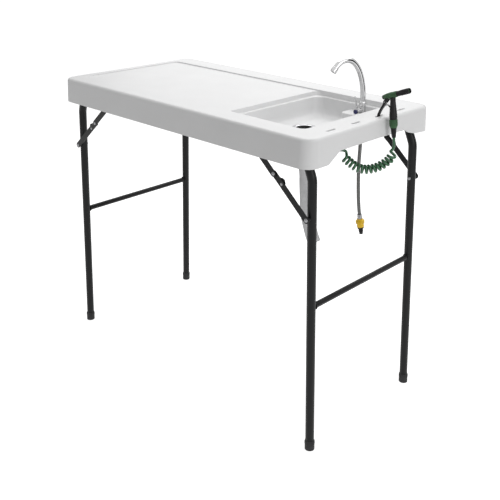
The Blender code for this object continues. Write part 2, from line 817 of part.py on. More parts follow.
def report_fold(end_name):
    top, knee, rivet, folded_knee, folded = stay_points(end_name)
    end = ENDS[end_name]
    upper_rest = (knee[0] - top[0], knee[1] - top[1])
    upper_fold = (folded_knee[0] - top[0], folded_knee[1] - top[1])
    lower_rest = (knee[0] - rivet[0], knee[1] - rivet[1])
    lower_fold = (folded_knee[0] - folded[0], folded_knee[1] - folded[1])
    upper = turn_about_y(upper_rest, upper_fold)
    lower = turn_about_y(lower_rest, lower_fold) - FOLD * end
    print(
        end_name,
        "fold", round(degrees(FOLD * end), 3),
        "upper stay", round(degrees(upper), 3),
        "lower stay on its frame", round(degrees(lower), 3),
        "knee", [round(v, 4) for v in knee],
        "folded knee", [round(v, 4) for v in folded_knee],
        "folded rivet", [round(v, 4) for v in folded],
    )


def round_hole(obj, centre, side, radius):
    """A hole along Y for a rivet, through an arm on the given side."""
    start = (centre[0], (UPPER_ARM_Y - 0.02) * side, centre[1])
    return cut(obj, turned(start, (0, side, 0), [(radius, 0), (radius, 0.04)], 12))


def arm_plate(start, stop, y, side):
    return prism(bar_outline(start, stop, ARM_HALF_WIDTH, 6), "xz", y * side, (y + ARM_THICKNESS) * side)


def upper_stay(end_name, side_name, body):
    """The stay's upper arm, with the knee rivet's outer head."""
    side = SIDES[side_name]
    top, knee = stay_points(end_name)[:2]
    arm = arm_plate(top, knee, UPPER_ARM_Y, side)
    round_hole(arm, top, side, RIVET_RADIUS + PIN_PLAY)
    face = UPPER_ARM_Y + ARM_THICKNESS
    start = face - 0.0010
    head = turned(
        (knee[0], start * side, knee[1]),
        (0, side, 0),
        [(RIVET_HEAD_RADIUS, 0), (RIVET_HEAD_RADIUS, 0.0014), (RIVET_HEAD_RADIUS * 0.6, 0.0010 + RIVET_HEAD)],
        12,
    )
    join(arm, head)
    add_piece(arm, f"{end_name}_upper_stay_{side_name}", BLACK_STEEL, body)


def hook_place(end_name):
    """The lock hook's pivot on the lower arm."""
    _, knee, rivet = stay_points(end_name)[:3]
    share = HOOK_REACH / LOWER_ARM[end_name]
    return (knee[0] + (rivet[0] - knee[0]) * share, knee[1] + (rivet[1] - knee[1]) * share)


def lower_stay(end_name, side_name, body):
    """The stay's lower arm, with the knee rivet's inner head and the lock hook's pin."""
    side = SIDES[side_name]
    _, knee, rivet = stay_points(end_name)[:3]
    arm = arm_plate(rivet, knee, LOWER_ARM_Y, side)
    round_hole(arm, rivet, side, RIVET_RADIUS + PIN_PLAY)
    start = LOWER_ARM_Y + ARM_THICKNESS / 2
    head = turned(
        (knee[0], start * side, knee[1]),
        (0, -side, 0),
        [(KNEE_HEAD_RADIUS, 0), (KNEE_HEAD_RADIUS, ARM_THICKNESS / 2 + RIVET_HEAD)],
        12,
    )
    hook = hook_place(end_name)
    pin_end = start - (HOOK_Y - GAP)
    pin = turned(
        (hook[0], start * side, hook[1]),
        (0, -side, 0),
        [
            (RIVET_RADIUS, 0),
            (RIVET_RADIUS, pin_end),
            (RIVET_HEAD_RADIUS, pin_end),
            (RIVET_HEAD_RADIUS, pin_end + RIVET_HEAD / 2),
        ],
        12,
    )
    join(arm, head, pin)
    add_piece(arm, f"{end_name}_lower_stay_{side_name}", BLACK_STEEL, body)


def lock_hook(end_name, side_name, body):
    """The catch behind the knee, with a thumb ear above the arms and a notch round the rivet."""
    side = SIDES[side_name]
    _, knee, rivet = stay_points(end_name)[:3]
    place = Vector(hook_place(end_name))
    along = (Vector(knee) - place).normalized()
    above = Vector((-along.y, along.x)) * -ENDS[end_name]
    if above.y < 0:
        above = -above
    notch = arc((HOOK_REACH, 0), NOTCH_RADIUS, radians(15), radians(-195), 10)
    corners = [
        place - along * 0.009 - above * 0.002,
        place + along * 0.006 - above * HOOK_HALF_WIDTH,
        place + along * (HOOK_REACH - 0.010) - above * (HOOK_HALF_WIDTH + 0.002),
        place + along * (HOOK_REACH + 0.002) - above * (HOOK_HALF_WIDTH + 0.003),
        place + along * (HOOK_REACH + 0.0085) - above * (HOOK_HALF_WIDTH - 0.001),
        place + along * (HOOK_REACH + 0.0095) + above * 0.0010,
        place + along * (HOOK_REACH + 0.0065) + above * 0.0030,
    ]
    corners += [place + along * a + above * b for a, b in notch]
    corners += [
        place + along * (HOOK_REACH - 0.0075) + above * 0.0030,
        place + along * 0.016 + above * 0.009,
        place + along * 0.010 + above * (HOOK_HALF_WIDTH + HOOK_EAR - 0.002),
        place + along * 0.002 + above * (HOOK_HALF_WIDTH + HOOK_EAR),
        place - along * 0.007 + above * (HOOK_HALF_WIDTH + 0.004),
        place - along * 0.010 + above * 0.003,
    ]
    low, high = sorted((HOOK_Y * side, (HOOK_Y + ARM_THICKNESS) * side))
    plate = prism([(c.x, c.y) for c in corners], "xz", low, high)
    hole_start = (place.x, (HOOK_Y - 0.01) * side, place.y)
    cut(plate, turned(hole_start, (0, side, 0), [(RIVET_RADIUS + PIN_PLAY, 0), (RIVET_RADIUS + PIN_PLAY, 0.02)], 12))
    add_piece(plate, f"{end_name}_lock_hook_{side_name}", BLACK_STEEL, body)


def tap_fixed(body):
    """The tap's base, body, wing nut and tee, on one upright axis."""
    up = (0, 0, 1)
    foot = DECK_TOP + GAP
    flange = [
        (TAP_FLANGE_RADIUS, 0),
        (TAP_FLANGE_RADIUS, TAP_FLANGE_HEIGHT * 0.5),
        (TAP_BODY_RADIUS + 0.002, TAP_FLANGE_HEIGHT - GAP),
        (SHANK_RADIUS + GAP, TAP_FLANGE_HEIGHT - GAP),
        (SHANK_RADIUS + GAP, 0),
    ]
    add_piece(turned((TAP_X, TAP_Y, foot), up, flange, 32, wrap=True), "tap_flange", CHROME, body)

    shank_bottom = DECK_TOP - SHANK_LENGTH
    body_bottom = DECK_TOP + TAP_FLANGE_HEIGHT + GAP
    body_top = DECK_TOP + TAP_FLANGE_HEIGHT + TAP_BODY_HEIGHT
    profile = [
        (SHANK_RADIUS, 0),
        (SHANK_RADIUS, body_bottom - shank_bottom),
        (TAP_BODY_RADIUS, body_bottom - shank_bottom),
        (TAP_BODY_RADIUS, body_top - shank_bottom - 0.001),
        (TAP_BODY_RADIUS - 0.001, body_top - shank_bottom),
    ]
    tap = turned((TAP_X, TAP_Y, shank_bottom), up, profile, 24)
    valve = turned(
        (TAP_X, TAP_Y, VALVE_Z),
        (0, -1, 0),
        [
            (VALVE_RADIUS, 0.002),
            (VALVE_RADIUS, LEVER_BACK - 0.0045),
            (VALVE_RADIUS - 0.0022, LEVER_BACK - 0.0045),
            (VALVE_RADIUS - 0.0022, VALVE_REACH),
        ],
        20,
    )
    join(tap, valve)
    add_piece(tap, "tap_body", CHROME, body)

    under = DECK_TOP - BOWL_WALL - 0.001
    nut_top = under - GAP
    nut = turned(
        (TAP_X, TAP_Y, nut_top - WING_HEIGHT),
        up,
        [
            (0.0125, 0),
            (0.0165, WING_HEIGHT - 0.003),
            (0.0165, WING_HEIGHT),
            (SHANK_RADIUS + GAP, WING_HEIGHT),
            (SHANK_RADIUS + GAP, 0),
        ],
        20,
        wrap=True,
    )
    wings = []
    for way in (-1, 1):
        wing = [
            (TAP_X + way * 0.0110, nut_top - 0.0010),
            (TAP_X + way * WING_SPAN, nut_top - 0.0060),
            (TAP_X + way * WING_SPAN, nut_top - 0.0120),
            (TAP_X + way * 0.0110, nut_top - WING_HEIGHT + 0.0010),
        ]
        wings.append(prism(wing, "xz", TAP_Y - 0.002, TAP_Y + 0.002))
    join(nut, *wings)
    add_piece(nut, "wing_nut", YELLOW_PLASTIC, body)

    tee_top = shank_bottom - GAP
    tee = turned(
        (TAP_X, TAP_Y, tee_top - TEE_LENGTH),
        up,
        [(TEE_RADIUS - 0.001, 0), (TEE_RADIUS, 0.001), (TEE_RADIUS, TEE_LENGTH - 0.001), (TEE_RADIUS - 0.001, TEE_LENGTH)],
        20,
    )
    branch_z = tee_top - TEE_LENGTH / 2
    branch = turned(
        (TAP_X, TAP_Y, branch_z), (1, 0, 0), [(0.0065, 0.002), (0.0065, TEE_REACH)], 16
    )
    join(tee, branch)
    add_piece(tee, "supply_tee", BLACK_PLASTIC, body)
    return tee_top - TEE_LENGTH, branch_z


def spout_point(reach, height):
    return Vector(
        (TAP_X + reach * cos(SPOUT_TURN), TAP_Y + reach * sin(SPOUT_TURN), SPOUT_BASE + height)
    )


def spout_route():
    """A quarter ellipse up to the top of the neck, then an arc down to the tip."""
    points = [spout_point(0, -0.004)]
    for i in range(11):
        angle = pi / 2 * i / 10
        points.append(spout_point(SPOUT_HALF_REACH * (1 - cos(angle)), SPOUT_RISE * sin(angle)))
    for i in range(1, 9):
        angle = SPOUT_TIP_TURN * i / 8
        points.append(
            spout_point(
                SPOUT_HALF_REACH + SPOUT_TIP_RADIUS * sin(angle),
                SPOUT_RISE - SPOUT_TIP_RADIUS * (1 - cos(angle)),
            )
        )
    return points


def tap_moving(spout_body, lever_body):
    route = spout_route()
    way = (route[-1] - route[-2]).normalized()
    end = route[-1] + way * 0.002
    route.append(end)
    add_piece(swept(route, [SPOUT_RADIUS] * len(route), 16), "spout", CHROME, spout_body)
    dome_bottom = SPOUT_BASE - TAP_DOME_HEIGHT + GAP
    inner = SPOUT_RADIUS + GAP
    dome = [
        (TAP_DOME_RADIUS - 0.0008, 0),
        (TAP_DOME_RADIUS, 0.0012),
        (TAP_DOME_RADIUS, TAP_DOME_HEIGHT - 0.0060),
        (TAP_DOME_RADIUS - 0.0008, TAP_DOME_HEIGHT - 0.0030),
        (inner + 0.0008, TAP_DOME_HEIGHT - GAP),
        (inner, TAP_DOME_HEIGHT - GAP),
        (inner, TAP_DOME_HEIGHT - 0.0050),
    ]
    add_piece(
        turned((TAP_X, TAP_Y, dome_bottom), (0, 0, 1), dome, 28), "spout_nut", CHROME, spout_body
    )
    aerator = [
        (SPOUT_RADIUS + 0.0003, 0),
        (AERATOR_RADIUS, 0.0015),
        (AERATOR_RADIUS, AERATOR_LENGTH),
        (AERATOR_RADIUS - 0.0018, AERATOR_LENGTH),
        (AERATOR_RADIUS - 0.0022, AERATOR_LENGTH - 0.0030),
    ]
    add_piece(turned(end + way * GAP, way, aerator, 24), "aerator", CHROME, spout_body)

    bore = VALVE_RADIUS - 0.0022 + GAP
    hub = turned(
        (TAP_X, TAP_Y - LEVER_BACK + 0.0042, VALVE_Z),
        (0, -1, 0),
        [(VALVE_RADIUS + 0.0006, 0), (VALVE_RADIUS + 0.0006, 0.0084), (bore, 0.0084), (bore, 0)],
        20,
        wrap=True,
    )
    blade_start = Vector((TAP_X, TAP_Y - LEVER_BACK, VALVE_Z + VALVE_RADIUS - 0.0010))
    blade_end = blade_start + Vector((-0.003, -0.014, LEVER_LENGTH - VALVE_RADIUS))
    blade_path = [blade_start.lerp(blade_end, t) for t in (0, 0.3, 0.7, 0.94, 1.0)]
    blade = swept(blade_path, [0.0022, 0.0024, 0.0030, 0.0032, 0.0020], 12, squeeze=1.25)
    join(hub, blade)
    add_piece(hub, "tap_lever", CHROME, lever_body)
    cap = [
        (VALVE_CAP_RADIUS, 0),
        (VALVE_CAP_RADIUS, VALVE_CAP_LENGTH * 0.55),
        (VALVE_CAP_RADIUS * 0.80, VALVE_CAP_LENGTH * 0.88),
        (VALVE_CAP_RADIUS * 0.40, VALVE_CAP_LENGTH),
    ]
    add_piece(
        turned((TAP_X, TAP_Y - VALVE_REACH - GAP, VALVE_Z), (0, -1, 0), cap, 20),
        "tap_cap",
        BLUE_PLASTIC,
        lever_body,
    )


def drain(body):
    """The strainer from above, clamped by a gasket and a nut, and a tailpiece for the hose."""
    axis = (0, 0, 1)
    top = BOWL_FLOOR + GAP
    pipe = DRAIN_HOLE - 0.0012
    strainer = [
        (pipe, -STRAINER_LENGTH),
        (pipe, 0),
        (STRAINER_FLANGE, 0),
        (STRAINER_FLANGE - 0.001, 0.0015),
        (STRAINER_BORE + 0.007, 0.0020),
        (STRAINER_BORE + 0.001, -0.0030),
        (STRAINER_BORE, -0.0080),
        (STRAINER_BORE, -STRAINER_LENGTH),
    ]
    add_piece(turned((DRAIN_X, DRAIN_Y, top), axis, strainer, 28, wrap=True), "drain_strainer", BARE_STEEL, body)
    gasket_top = BOWL_FLOOR - BOWL_WALL - GAP
    inner = pipe + GAP
    gasket = [(GASKET_RADIUS, -GASKET_HEIGHT), (GASKET_RADIUS, 0), (inner, 0), (inner, -GASKET_HEIGHT)]
    add_piece(turned((DRAIN_X, DRAIN_Y, gasket_top), axis, gasket, 28, wrap=True), "drain_gasket", BLACK_RUBBER, body)
    nut_top = gasket_top - GASKET_HEIGHT - GAP
    nut = [
        (NUT_RADIUS - 0.002, -NUT_HEIGHT),
        (NUT_RADIUS, 0.002 - NUT_HEIGHT),
        (NUT_RADIUS, 0),
        (inner, 0),
        (inner, -NUT_HEIGHT),
    ]
    add_piece(turned((DRAIN_X, DRAIN_Y, nut_top), axis, nut, 28, wrap=True), "drain_nut", WHITE_NUT, body)
    tail_top = top - STRAINER_LENGTH - GAP
    bore = TAILPIECE_RADIUS - TAILPIECE_WALL
    tail = [
        (TAILPIECE_RADIUS, -TAILPIECE_LENGTH),
        (TAILPIECE_RADIUS, -0.006),
        (pipe, -0.004),
        (pipe, 0),
        (bore, 0),
        (bore, -TAILPIECE_LENGTH),
    ]
    add_piece(turned((DRAIN_X, DRAIN_Y, tail_top), axis, tail, 24, wrap=True), "drain_tailpiece", WHITE_NUT, body)
    return tail_top - TAILPIECE_LENGTH


def drain_hose(start_z, body):
    """A soft waste hose that hangs from the tailpiece."""
    drift = ((0, 0), (0, 0.0641), (0, 0.1314), (0.0256, 0.2564), (0.0417, 0.4808), (0.0513, 0.625))
    drift += ((0.0705, 0.7532), (0.109, 0.9071), (0.141, 1))
    way = Vector((cos(DRAIN_HOSE_LEAN), sin(DRAIN_HOSE_LEAN), 0))
    offsets = [(way * out + Vector((0, 0, -down))) * DRAIN_HOSE_DROP for out, down in drift]
    start = Vector((DRAIN_X, DRAIN_Y, start_z - GAP))
    route = smooth_curve([start + Vector(o) for o in offsets], DRAIN_HOSE_RADIUS * 2)
    print("drain hose length", round(path_length(route), 4))
    add_piece(tube_curve(route, DRAIN_HOSE_RADIUS, 3, body), "drain_hose", WHITE_HOSE, body)


def supply_line(start_z, body):
    """The braided hose under the tap, with its crimped ends and a quick coupling."""
    def ferrule(place, way, name):
        profile = [
            (FERRULE_RADIUS - 0.0010, 0),
            (FERRULE_RADIUS, 0.0010),
            (FERRULE_RADIUS, FERRULE_LENGTH - 0.0010),
            (FERRULE_RADIUS - 0.0010, FERRULE_LENGTH),
        ]
        add_piece(turned(place, way, profile, 20), name, BARE_STEEL, body)

    start = Vector((TAP_X, TAP_Y, start_z - GAP))
    down = Vector((0, 0, -1))
    ferrule(start, down, "supply_ferrule_top")
    start += down * (FERRULE_LENGTH + GAP)
    offsets = ((0, 0, 0), (0, 0, -0.012), (0.0015, -0.002, -0.040), (0.002, -0.004, -0.100))
    offsets += ((0.002, 0.000, -0.160), (0.002, 0.005, -0.210), (0.003, 0.010, -0.248), (0.004, 0.014, -0.272))
    route = [start + Vector(o) for o in offsets]
    points = smooth_curve(route, SUPPLY_RADIUS * 4)
    print("supply hose length", round(path_length(points), 4))
    add_piece(tube_curve(points, SUPPLY_RADIUS, 3, body), "supply_hose", BRAID, body)
    way = (points[-1] - points[-2]).normalized()
    place = points[-1] + way * GAP
    ferrule(place, way, "supply_ferrule_end")
    place += way * (FERRULE_LENGTH + GAP)
    coupling = [
        (COUPLING_RADIUS * 0.62, 0),
        (COUPLING_RADIUS * 0.66, 0.006),
        (COUPLING_RADIUS, 0.008),
        (COUPLING_RADIUS, 0.017),
        (COUPLING_RADIUS * 0.82, 0.019),
        (COUPLING_RADIUS * 0.82, COUPLING_LENGTH),
    ]
    add_piece(turned(place, way, coupling, 24), "hose_coupling", YELLOW_PLASTIC, body)
    place += way * (COUPLING_LENGTH + GAP)
    nipple = [
        (COUPLING_COLLAR_RADIUS, 0),
        (COUPLING_COLLAR_RADIUS, COUPLING_COLLAR),
        (NIPPLE_RADIUS, COUPLING_COLLAR),
        (NIPPLE_RADIUS, COUPLING_COLLAR + NIPPLE_LENGTH * 0.6),
        (NIPPLE_RADIUS - 0.0012, COUPLING_COLLAR + NIPPLE_LENGTH * 0.65),
        (NIPPLE_RADIUS - 0.0012, COUPLING_COLLAR + NIPPLE_LENGTH),
        (NIPPLE_RADIUS * 0.55, COUPLING_COLLAR + NIPPLE_LENGTH),
        (NIPPLE_RADIUS * 0.55, COUPLING_COLLAR + NIPPLE_LENGTH * 0.5),
    ]
    add_piece(turned(place, way, nipple, 20), "hose_nipple", BLACK_PLASTIC, body)


def gun_frame():
    """The gun's handle: its upper end, and the way down along it."""
    down = Vector((sin(GUN_TILT), 0, -cos(GUN_TILT)))
    grip_bottom = Vector((END_X + GUN_AXIS_OUT - 0.0035, GUN_Y, TOP_HEIGHT - 0.001))
    return grip_bottom, down


def spray_gun(gun_body, trigger_body):
    grip_bottom, down = gun_frame()
    grip_top = grip_bottom - down * (GUN_TOP - 0.010)
    steps = ((0, 0.0078), (0.12, 0.0080), (0.35, 0.0084), (0.6, 0.0096), (0.85, 0.0108), (1, 0.0106))
    grip_path = [grip_top.lerp(grip_bottom, t) for t, _ in steps]
    grip = swept(grip_path, [r for _, r in steps], 16, squeeze=1.08)

    head_way = Vector((cos(HEAD_RISE), 0, sin(HEAD_RISE)))
    head_mid = Vector((grip_top.x - 0.002, GUN_Y, TOP_HEIGHT + GUN_TOP))
    head_steps = (
        (-0.034, 0.0045), (-0.031, 0.0062), (-0.024, 0.0080), (-0.012, 0.0092), (0.0, 0.0094), (0.010, 0.0084),
        (0.017, 0.0080),
    )
    head_path = [head_mid + head_way * t for t, _ in head_steps]
    head = swept(head_path, [r for _, r in head_steps], 20)
    nozzle_start = head_path[-1] + head_way * GAP
    nozzle = [
        (NOZZLE_RADIUS - 0.0006, 0),
        (NOZZLE_RADIUS - 0.0004, 0.012),
        (NOZZLE_RADIUS, 0.014),
        (NOZZLE_RADIUS, NOZZLE_LENGTH - 0.003),
        (NOZZLE_RADIUS - 0.0012, NOZZLE_LENGTH),
        (NOZZLE_RADIUS - 0.0026, NOZZLE_LENGTH),
        (NOZZLE_RADIUS - 0.0032, NOZZLE_LENGTH - 0.004),
    ]
    add_piece(turned(nozzle_start, head_way, nozzle, 24), "gun_nozzle", BLACK_PLASTIC, gun_body)

    pivot = trigger_pivot()
    cheeks = []
    for way in (-1, 1):
        inside = TRIGGER_WIDTH / 2 + GAP
        outline = bar_outline((pivot.x, pivot.z), (pivot.x + 0.008, pivot.z + 0.012), 0.0042, 5)
        low, high = sorted((GUN_Y + way * inside, GUN_Y + way * (inside + 0.0018)))
        cheeks.append(prism(outline, "xz", low, high))
    pin = turned(
        (pivot.x, GUN_Y - TRIGGER_WIDTH / 2 - 0.0012, pivot.z),
        (0, 1, 0),
        [(0.0016, 0), (0.0016, TRIGGER_WIDTH + 0.0024)],
        12,
    )
    notch = turned(
        (pivot.x, GUN_Y - TRIGGER_WIDTH / 2 - GAP, pivot.z),
        (0, 1, 0),
        [(0.0050, 0), (0.0050, TRIGGER_WIDTH + 2 * GAP)],
        16,
    )
    cut(head, notch)
    join(head, *cheeks, pin)
    grip_clear = swept(head_path, [r + GAP for _, r in head_steps], 20)
    cut(grip, grip_clear)
    add_piece(head, "gun_head", GREEN_PLASTIC, gun_body)
    add_piece(grip, "gun_grip", BLACK_PLASTIC, gun_body)

    collar_start = grip_bottom + down * GAP
    collar = [
        (COLLAR_RADIUS - 0.0012, 0),
        (COLLAR_RADIUS, 0.002),
        (COLLAR_RADIUS, COLLAR_LENGTH - 0.006),
        (COLLAR_RADIUS - 0.0025, COLLAR_LENGTH),
    ]
    add_piece(turned(collar_start, down, collar, 24), "gun_collar", GREEN_PLASTIC, gun_body)
    tail_start = collar_start + down * (COLLAR_LENGTH + GAP)
    tail = [(TAIL_RADIUS, 0), (TAIL_RADIUS - 0.0004, 0.006), (TAIL_RADIUS - 0.0022, TAIL_LENGTH)]
    add_piece(turned(tail_start, down, tail, 20), "gun_tail", BLACK_PLASTIC, gun_body)

    add_piece(trigger(), "gun_trigger", BLACK_PLASTIC, trigger_body)
    return tail_start + down * (TAIL_LENGTH + GAP), down


def trigger_pivot():
    return Vector((END_X + TRIGGER_PIVOT_OUT, GUN_Y, TOP_HEIGHT + TRIGGER_PIVOT_UP))


def trigger():
    """A bowed lever from its pin under the head down into the slot."""
    pivot = trigger_pivot()
    wall = SLOT_X - SLOT_WIDTH / 2 + GAP + 0.0001
    tip_x = wall + TRIGGER_THICKNESS / 2
    tip_z = TOP_HEIGHT - TRIGGER_DEPTH
    neck_z = TOP_HEIGHT + 0.004
    line = [
        Vector((pivot.x, 0, pivot.z)),
        Vector((pivot.x - 0.0055, 0, pivot.z - 0.0120)),
        Vector((tip_x + 0.0066, 0, neck_z + 0.0140)),
        Vector((tip_x + 0.0010, 0, neck_z + 0.0010)),
        Vector((tip_x, 0, neck_z - 0.0045)),
        Vector((tip_x, 0, tip_z)),
    ]
    halves = (0.0042, 0.0034, 0.0030, 0.0026, TRIGGER_THICKNESS / 2, TRIGGER_THICKNESS / 2)
    front = [(p.x - h, p.z) for p, h in zip(line, halves)]
    rear = [(p.x + h, p.z) for p, h in zip(line, halves)]
    head = arc((pivot.x, pivot.z), 0.0042, 0, pi, 8)
    outline = head + front[1:] + rear[:0:-1]
    lever = prism(outline, "xz", GUN_Y - TRIGGER_WIDTH / 2, GUN_Y + TRIGGER_WIDTH / 2)
    hole = turned((pivot.x, GUN_Y - 0.01, pivot.z), (0, 1, 0), [(0.0019, 0), (0.0019, 0.02)], 12)
    return cut(lever, hole)


def curly_route(tee_z, tail, down):
    """The curly hose's line: from the tee under the bowl, the curls, and up to the gun.
    The places on the way are measured from the top edge in the middle of the sink end."""
    under_bowl = (
        (-0.1200, 0.1600, -0.0870),
        (-0.1080, 0.1200, -0.0930),
        (-0.1050, 0.0600, -0.0965),
        (-0.1055, 0.0050, -0.0960),
        (-0.1065, -0.0350, -0.0945),
        (-0.1020, -0.0560, -0.0940),
        (-0.0935, -0.0570, -0.0940),
        (-0.0860, -0.0460, -0.0945),
        (-0.0800, -0.0345, -0.0990),
    )
    hanging = (
        (-0.0803, -0.0411, -0.1161),
        (-0.0653, -0.0268, -0.1341),
        (-0.0500, -0.0122, -0.1479),
        (-0.0319, 0.0050, -0.1530),
        (-0.0116, 0.0244, -0.1475),
        (0.0056, 0.0408, -0.1349),
        (0.0185, 0.0530, -0.1175),
        (0.0228, 0.0568, -0.1000),
    )
    end_edge = Vector((END_X, 0, TOP_HEIGHT))
    lead = [
        Vector((TAP_X + TEE_REACH + GAP, TAP_Y, tee_z)),
        Vector((TAP_X + TEE_REACH + 0.012, TAP_Y, tee_z)),
    ]
    lead += [end_edge + Vector(p) for p in under_bowl]
    droop = [end_edge + Vector(p) for p in hanging]
    rise = [tail + down * 0.022, tail + down * 0.009, tail]
    return lead, droop, rise


def nearest(points, place):
    return min(range(len(points)), key=lambda i: (points[i] - place).length)


def curly_points(tee_z, tail, down):
    """One unbroken line: straight lead, helix round the droop, straight end.
    The lead meets the first curl at its top, and the last curl narrows into the straight end."""
    lead, droop, rise = curly_route(tee_z, tail, down)
    whole = smooth_curve(droop + rise, 0.002)
    last = nearest(whole, droop[-1])
    line = smooth_curve(whole[: last + 1], 0.001)
    ways = tangents(line)
    across = Vector((0, 0, 1))
    frames = []
    for way in ways:
        across = (across - way * across.dot(way)).normalized()
        frames.append((across, way.cross(across)))
    count = round(CURLS * POINTS_PER_CURL)
    coil = []
    for i in range(count + 1):
        share = i / count
        place = share * (len(line) - 1)
        k = min(int(place), len(line) - 2)
        centre = line[k].lerp(line[k + 1], place - k)
        side, up = frames[k]
        swell = min(1.0, (1 - share) * CURLS / 0.75)
        radius = CURL_RADIUS * swell * swell * (3 - 2 * swell)
        angle = 2 * pi * CURLS * share
        coil.append(centre + side * radius * cos(angle) + up * radius * sin(angle))
    straight = CURLY_TUBE * 2
    before = smooth_curve([lead[0] + Vector((straight, 0, 0))] + lead[1:] + [coil[0], coil[1]], straight)
    after = smooth_curve(whole[last:-6] + [tail + down * straight], straight)
    return [lead[0]] + before[: nearest(before, coil[0])] + coil + after[1:] + [tail]


def least_gap(points, radius):
    """The least free gap between stretches of a tube that aren't neighbours along it."""
    fine = []
    for p, q in zip(points, points[1:]):
        steps = max(1, round((q - p).length / 0.002))
        fine += [p.lerp(q, i / steps) for i in range(steps)]
    walked = [0.0]
    for p, q in zip(fine, fine[1:]):
        walked.append(walked[-1] + (q - p).length)
    least = 1.0
    apart = radius * 2 * pi
    for i, p in enumerate(fine):
        for j in range(i + 1, len(fine)):
            if walked[j] - walked[i] > apart:
                least = min(least, (fine[j] - p).length)
    return least - 2 * radius


def curly_hose(tee_z, tail, down, body):
    points = curly_points(tee_z, tail, down)
    print("curly hose length", round(path_length(points), 4), "points", len(points))
    print("curly hose least gap to itself, mm", round(least_gap(points, CURLY_TUBE) * 1000, 2))
    add_piece(tube_curve(points, CURLY_TUBE, 1, body), "curly_hose", GREEN_HOSE, body)


def main():
    clear_scene()
    origin = make_body("origin", (0, 0, 0))
    table = make_body("table", (0, 0, 0), origin)
    table.location.x = TOP_X
    table_top(table)
    for end_name, end in ENDS.items():
        frame = make_body(end_name + "_legs", (PIVOT_X[end_name] * end, 0, PIVOT_Z[end_name]), table)
        leg_frame(end_name, frame)
        report_fold(end_name)
        top, _, rivet = stay_points(end_name)[:3]
        hook = hook_place(end_name)
        upper = make_body(end_name + "_upper_stays", (top[0], 0, top[1]), table)
        lower = make_body(end_name + "_lower_stays", (rivet[0], 0, rivet[1]), frame)
        for side_name in SIDES:
            catch = make_body(f"{end_name}_lock_{side_name}", (hook[0], 0, hook[1]), lower)
            pivot_bracket(end_name, side_name, table)
            stay_bracket(end_name, side_name, table)
            upper_stay(end_name, side_name, upper)
            lower_stay(end_name, side_name, lower)
            lock_hook(end_name, side_name, catch)
    supply_z, branch_z = tap_fixed(table)
    spout = make_body("spout", (TAP_X, TAP_Y, SPOUT_BASE), table)
    lever = make_body("lever", (TAP_X, TAP_Y, VALVE_Z), table)
    tap_moving(spout, lever)
    drain_hose(drain(table), table)
    supply_line(supply_z, table)
    gun = make_body("gun", tuple(gun_frame()[0]), table)
    trigger_body = make_body("trigger", tuple(trigger_pivot()), gun)
    tail, down = spray_gun(gun, trigger_body)
    curly_hose(branch_z, tail, down, table)


main()
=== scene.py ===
"""Looks of a folding camp sink station: moulded top, sunk bowl, tap, drain, folding legs and a
spray gun on a curly hose.  The packed model is the fixed frame, and every piece here is in its
place in that frame, in metres: +X to the sink end, -Y to the user, heights above the floor.
"""

import json
import math

import bmesh
import bpy
from bpy.props import FloatProperty, FloatVectorProperty, IntProperty, PointerProperty
from bpy.types import Operator, Panel, PropertyGroup
from mathutils import Matrix, Vector

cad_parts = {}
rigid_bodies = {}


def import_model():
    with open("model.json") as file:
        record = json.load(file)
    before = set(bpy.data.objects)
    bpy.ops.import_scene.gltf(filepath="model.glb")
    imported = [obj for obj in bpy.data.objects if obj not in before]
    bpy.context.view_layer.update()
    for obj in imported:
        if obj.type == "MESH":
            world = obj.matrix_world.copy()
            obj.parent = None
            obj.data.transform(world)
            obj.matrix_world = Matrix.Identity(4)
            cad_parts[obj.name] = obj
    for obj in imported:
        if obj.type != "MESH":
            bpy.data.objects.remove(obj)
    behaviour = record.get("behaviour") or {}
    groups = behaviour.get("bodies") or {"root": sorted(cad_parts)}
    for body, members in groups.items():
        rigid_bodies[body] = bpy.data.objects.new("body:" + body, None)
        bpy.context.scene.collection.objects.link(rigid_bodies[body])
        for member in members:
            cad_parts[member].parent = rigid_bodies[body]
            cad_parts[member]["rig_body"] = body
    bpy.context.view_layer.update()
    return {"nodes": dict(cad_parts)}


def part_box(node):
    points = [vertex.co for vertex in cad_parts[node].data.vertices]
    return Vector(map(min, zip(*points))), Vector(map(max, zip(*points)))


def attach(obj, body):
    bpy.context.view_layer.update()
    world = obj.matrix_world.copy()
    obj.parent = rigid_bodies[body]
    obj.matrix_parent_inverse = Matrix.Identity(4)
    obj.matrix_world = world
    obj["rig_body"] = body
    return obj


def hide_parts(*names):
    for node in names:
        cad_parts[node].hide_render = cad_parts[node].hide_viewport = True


bl_info = {
    "name": "Camp Sink Station",
    "version": (1, 0, 0),
    "blender": (4, 5, 0),
    "location": "3D View > Sidebar > Camp Sink",
    "description": "Dresses a folding camp sink station with its finishes, hoses and fittings",
    "category": "Object",
}

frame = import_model()
NODES = frame["nodes"]

TABLE_X = -0.02625
ENDS = {"sink": 1, "far": -1}
SIDES = {"front": -1, "back": 1}
FOOT_X = {"sink": 0.586, "far": -0.576}
PIVOT_X = {"sink": 0.521, "far": -0.511}
STAY_TOP = {"sink": (0.325, 0.958), "far": (-0.297, 0.958)}
UP = Vector((0, 0, 1))
DOWN = Vector((0, 0, -1))
CLEAR = 0.0003

TAP_AXIS = Vector((0.37475, 0.170, 0.0))
DRAIN_AXIS = Vector((0.26875, 0.015, 0.0))
GUN_Y = 0.057
GRIP_END = Vector((0.56725, GUN_Y, 0.991))
DOWN_GRIP = Vector((0.1166707, 0.0, -0.9931707))
GUN_TAIL_END = Vector((0.573538, GUN_Y, 0.937468))


# Sizes and colours

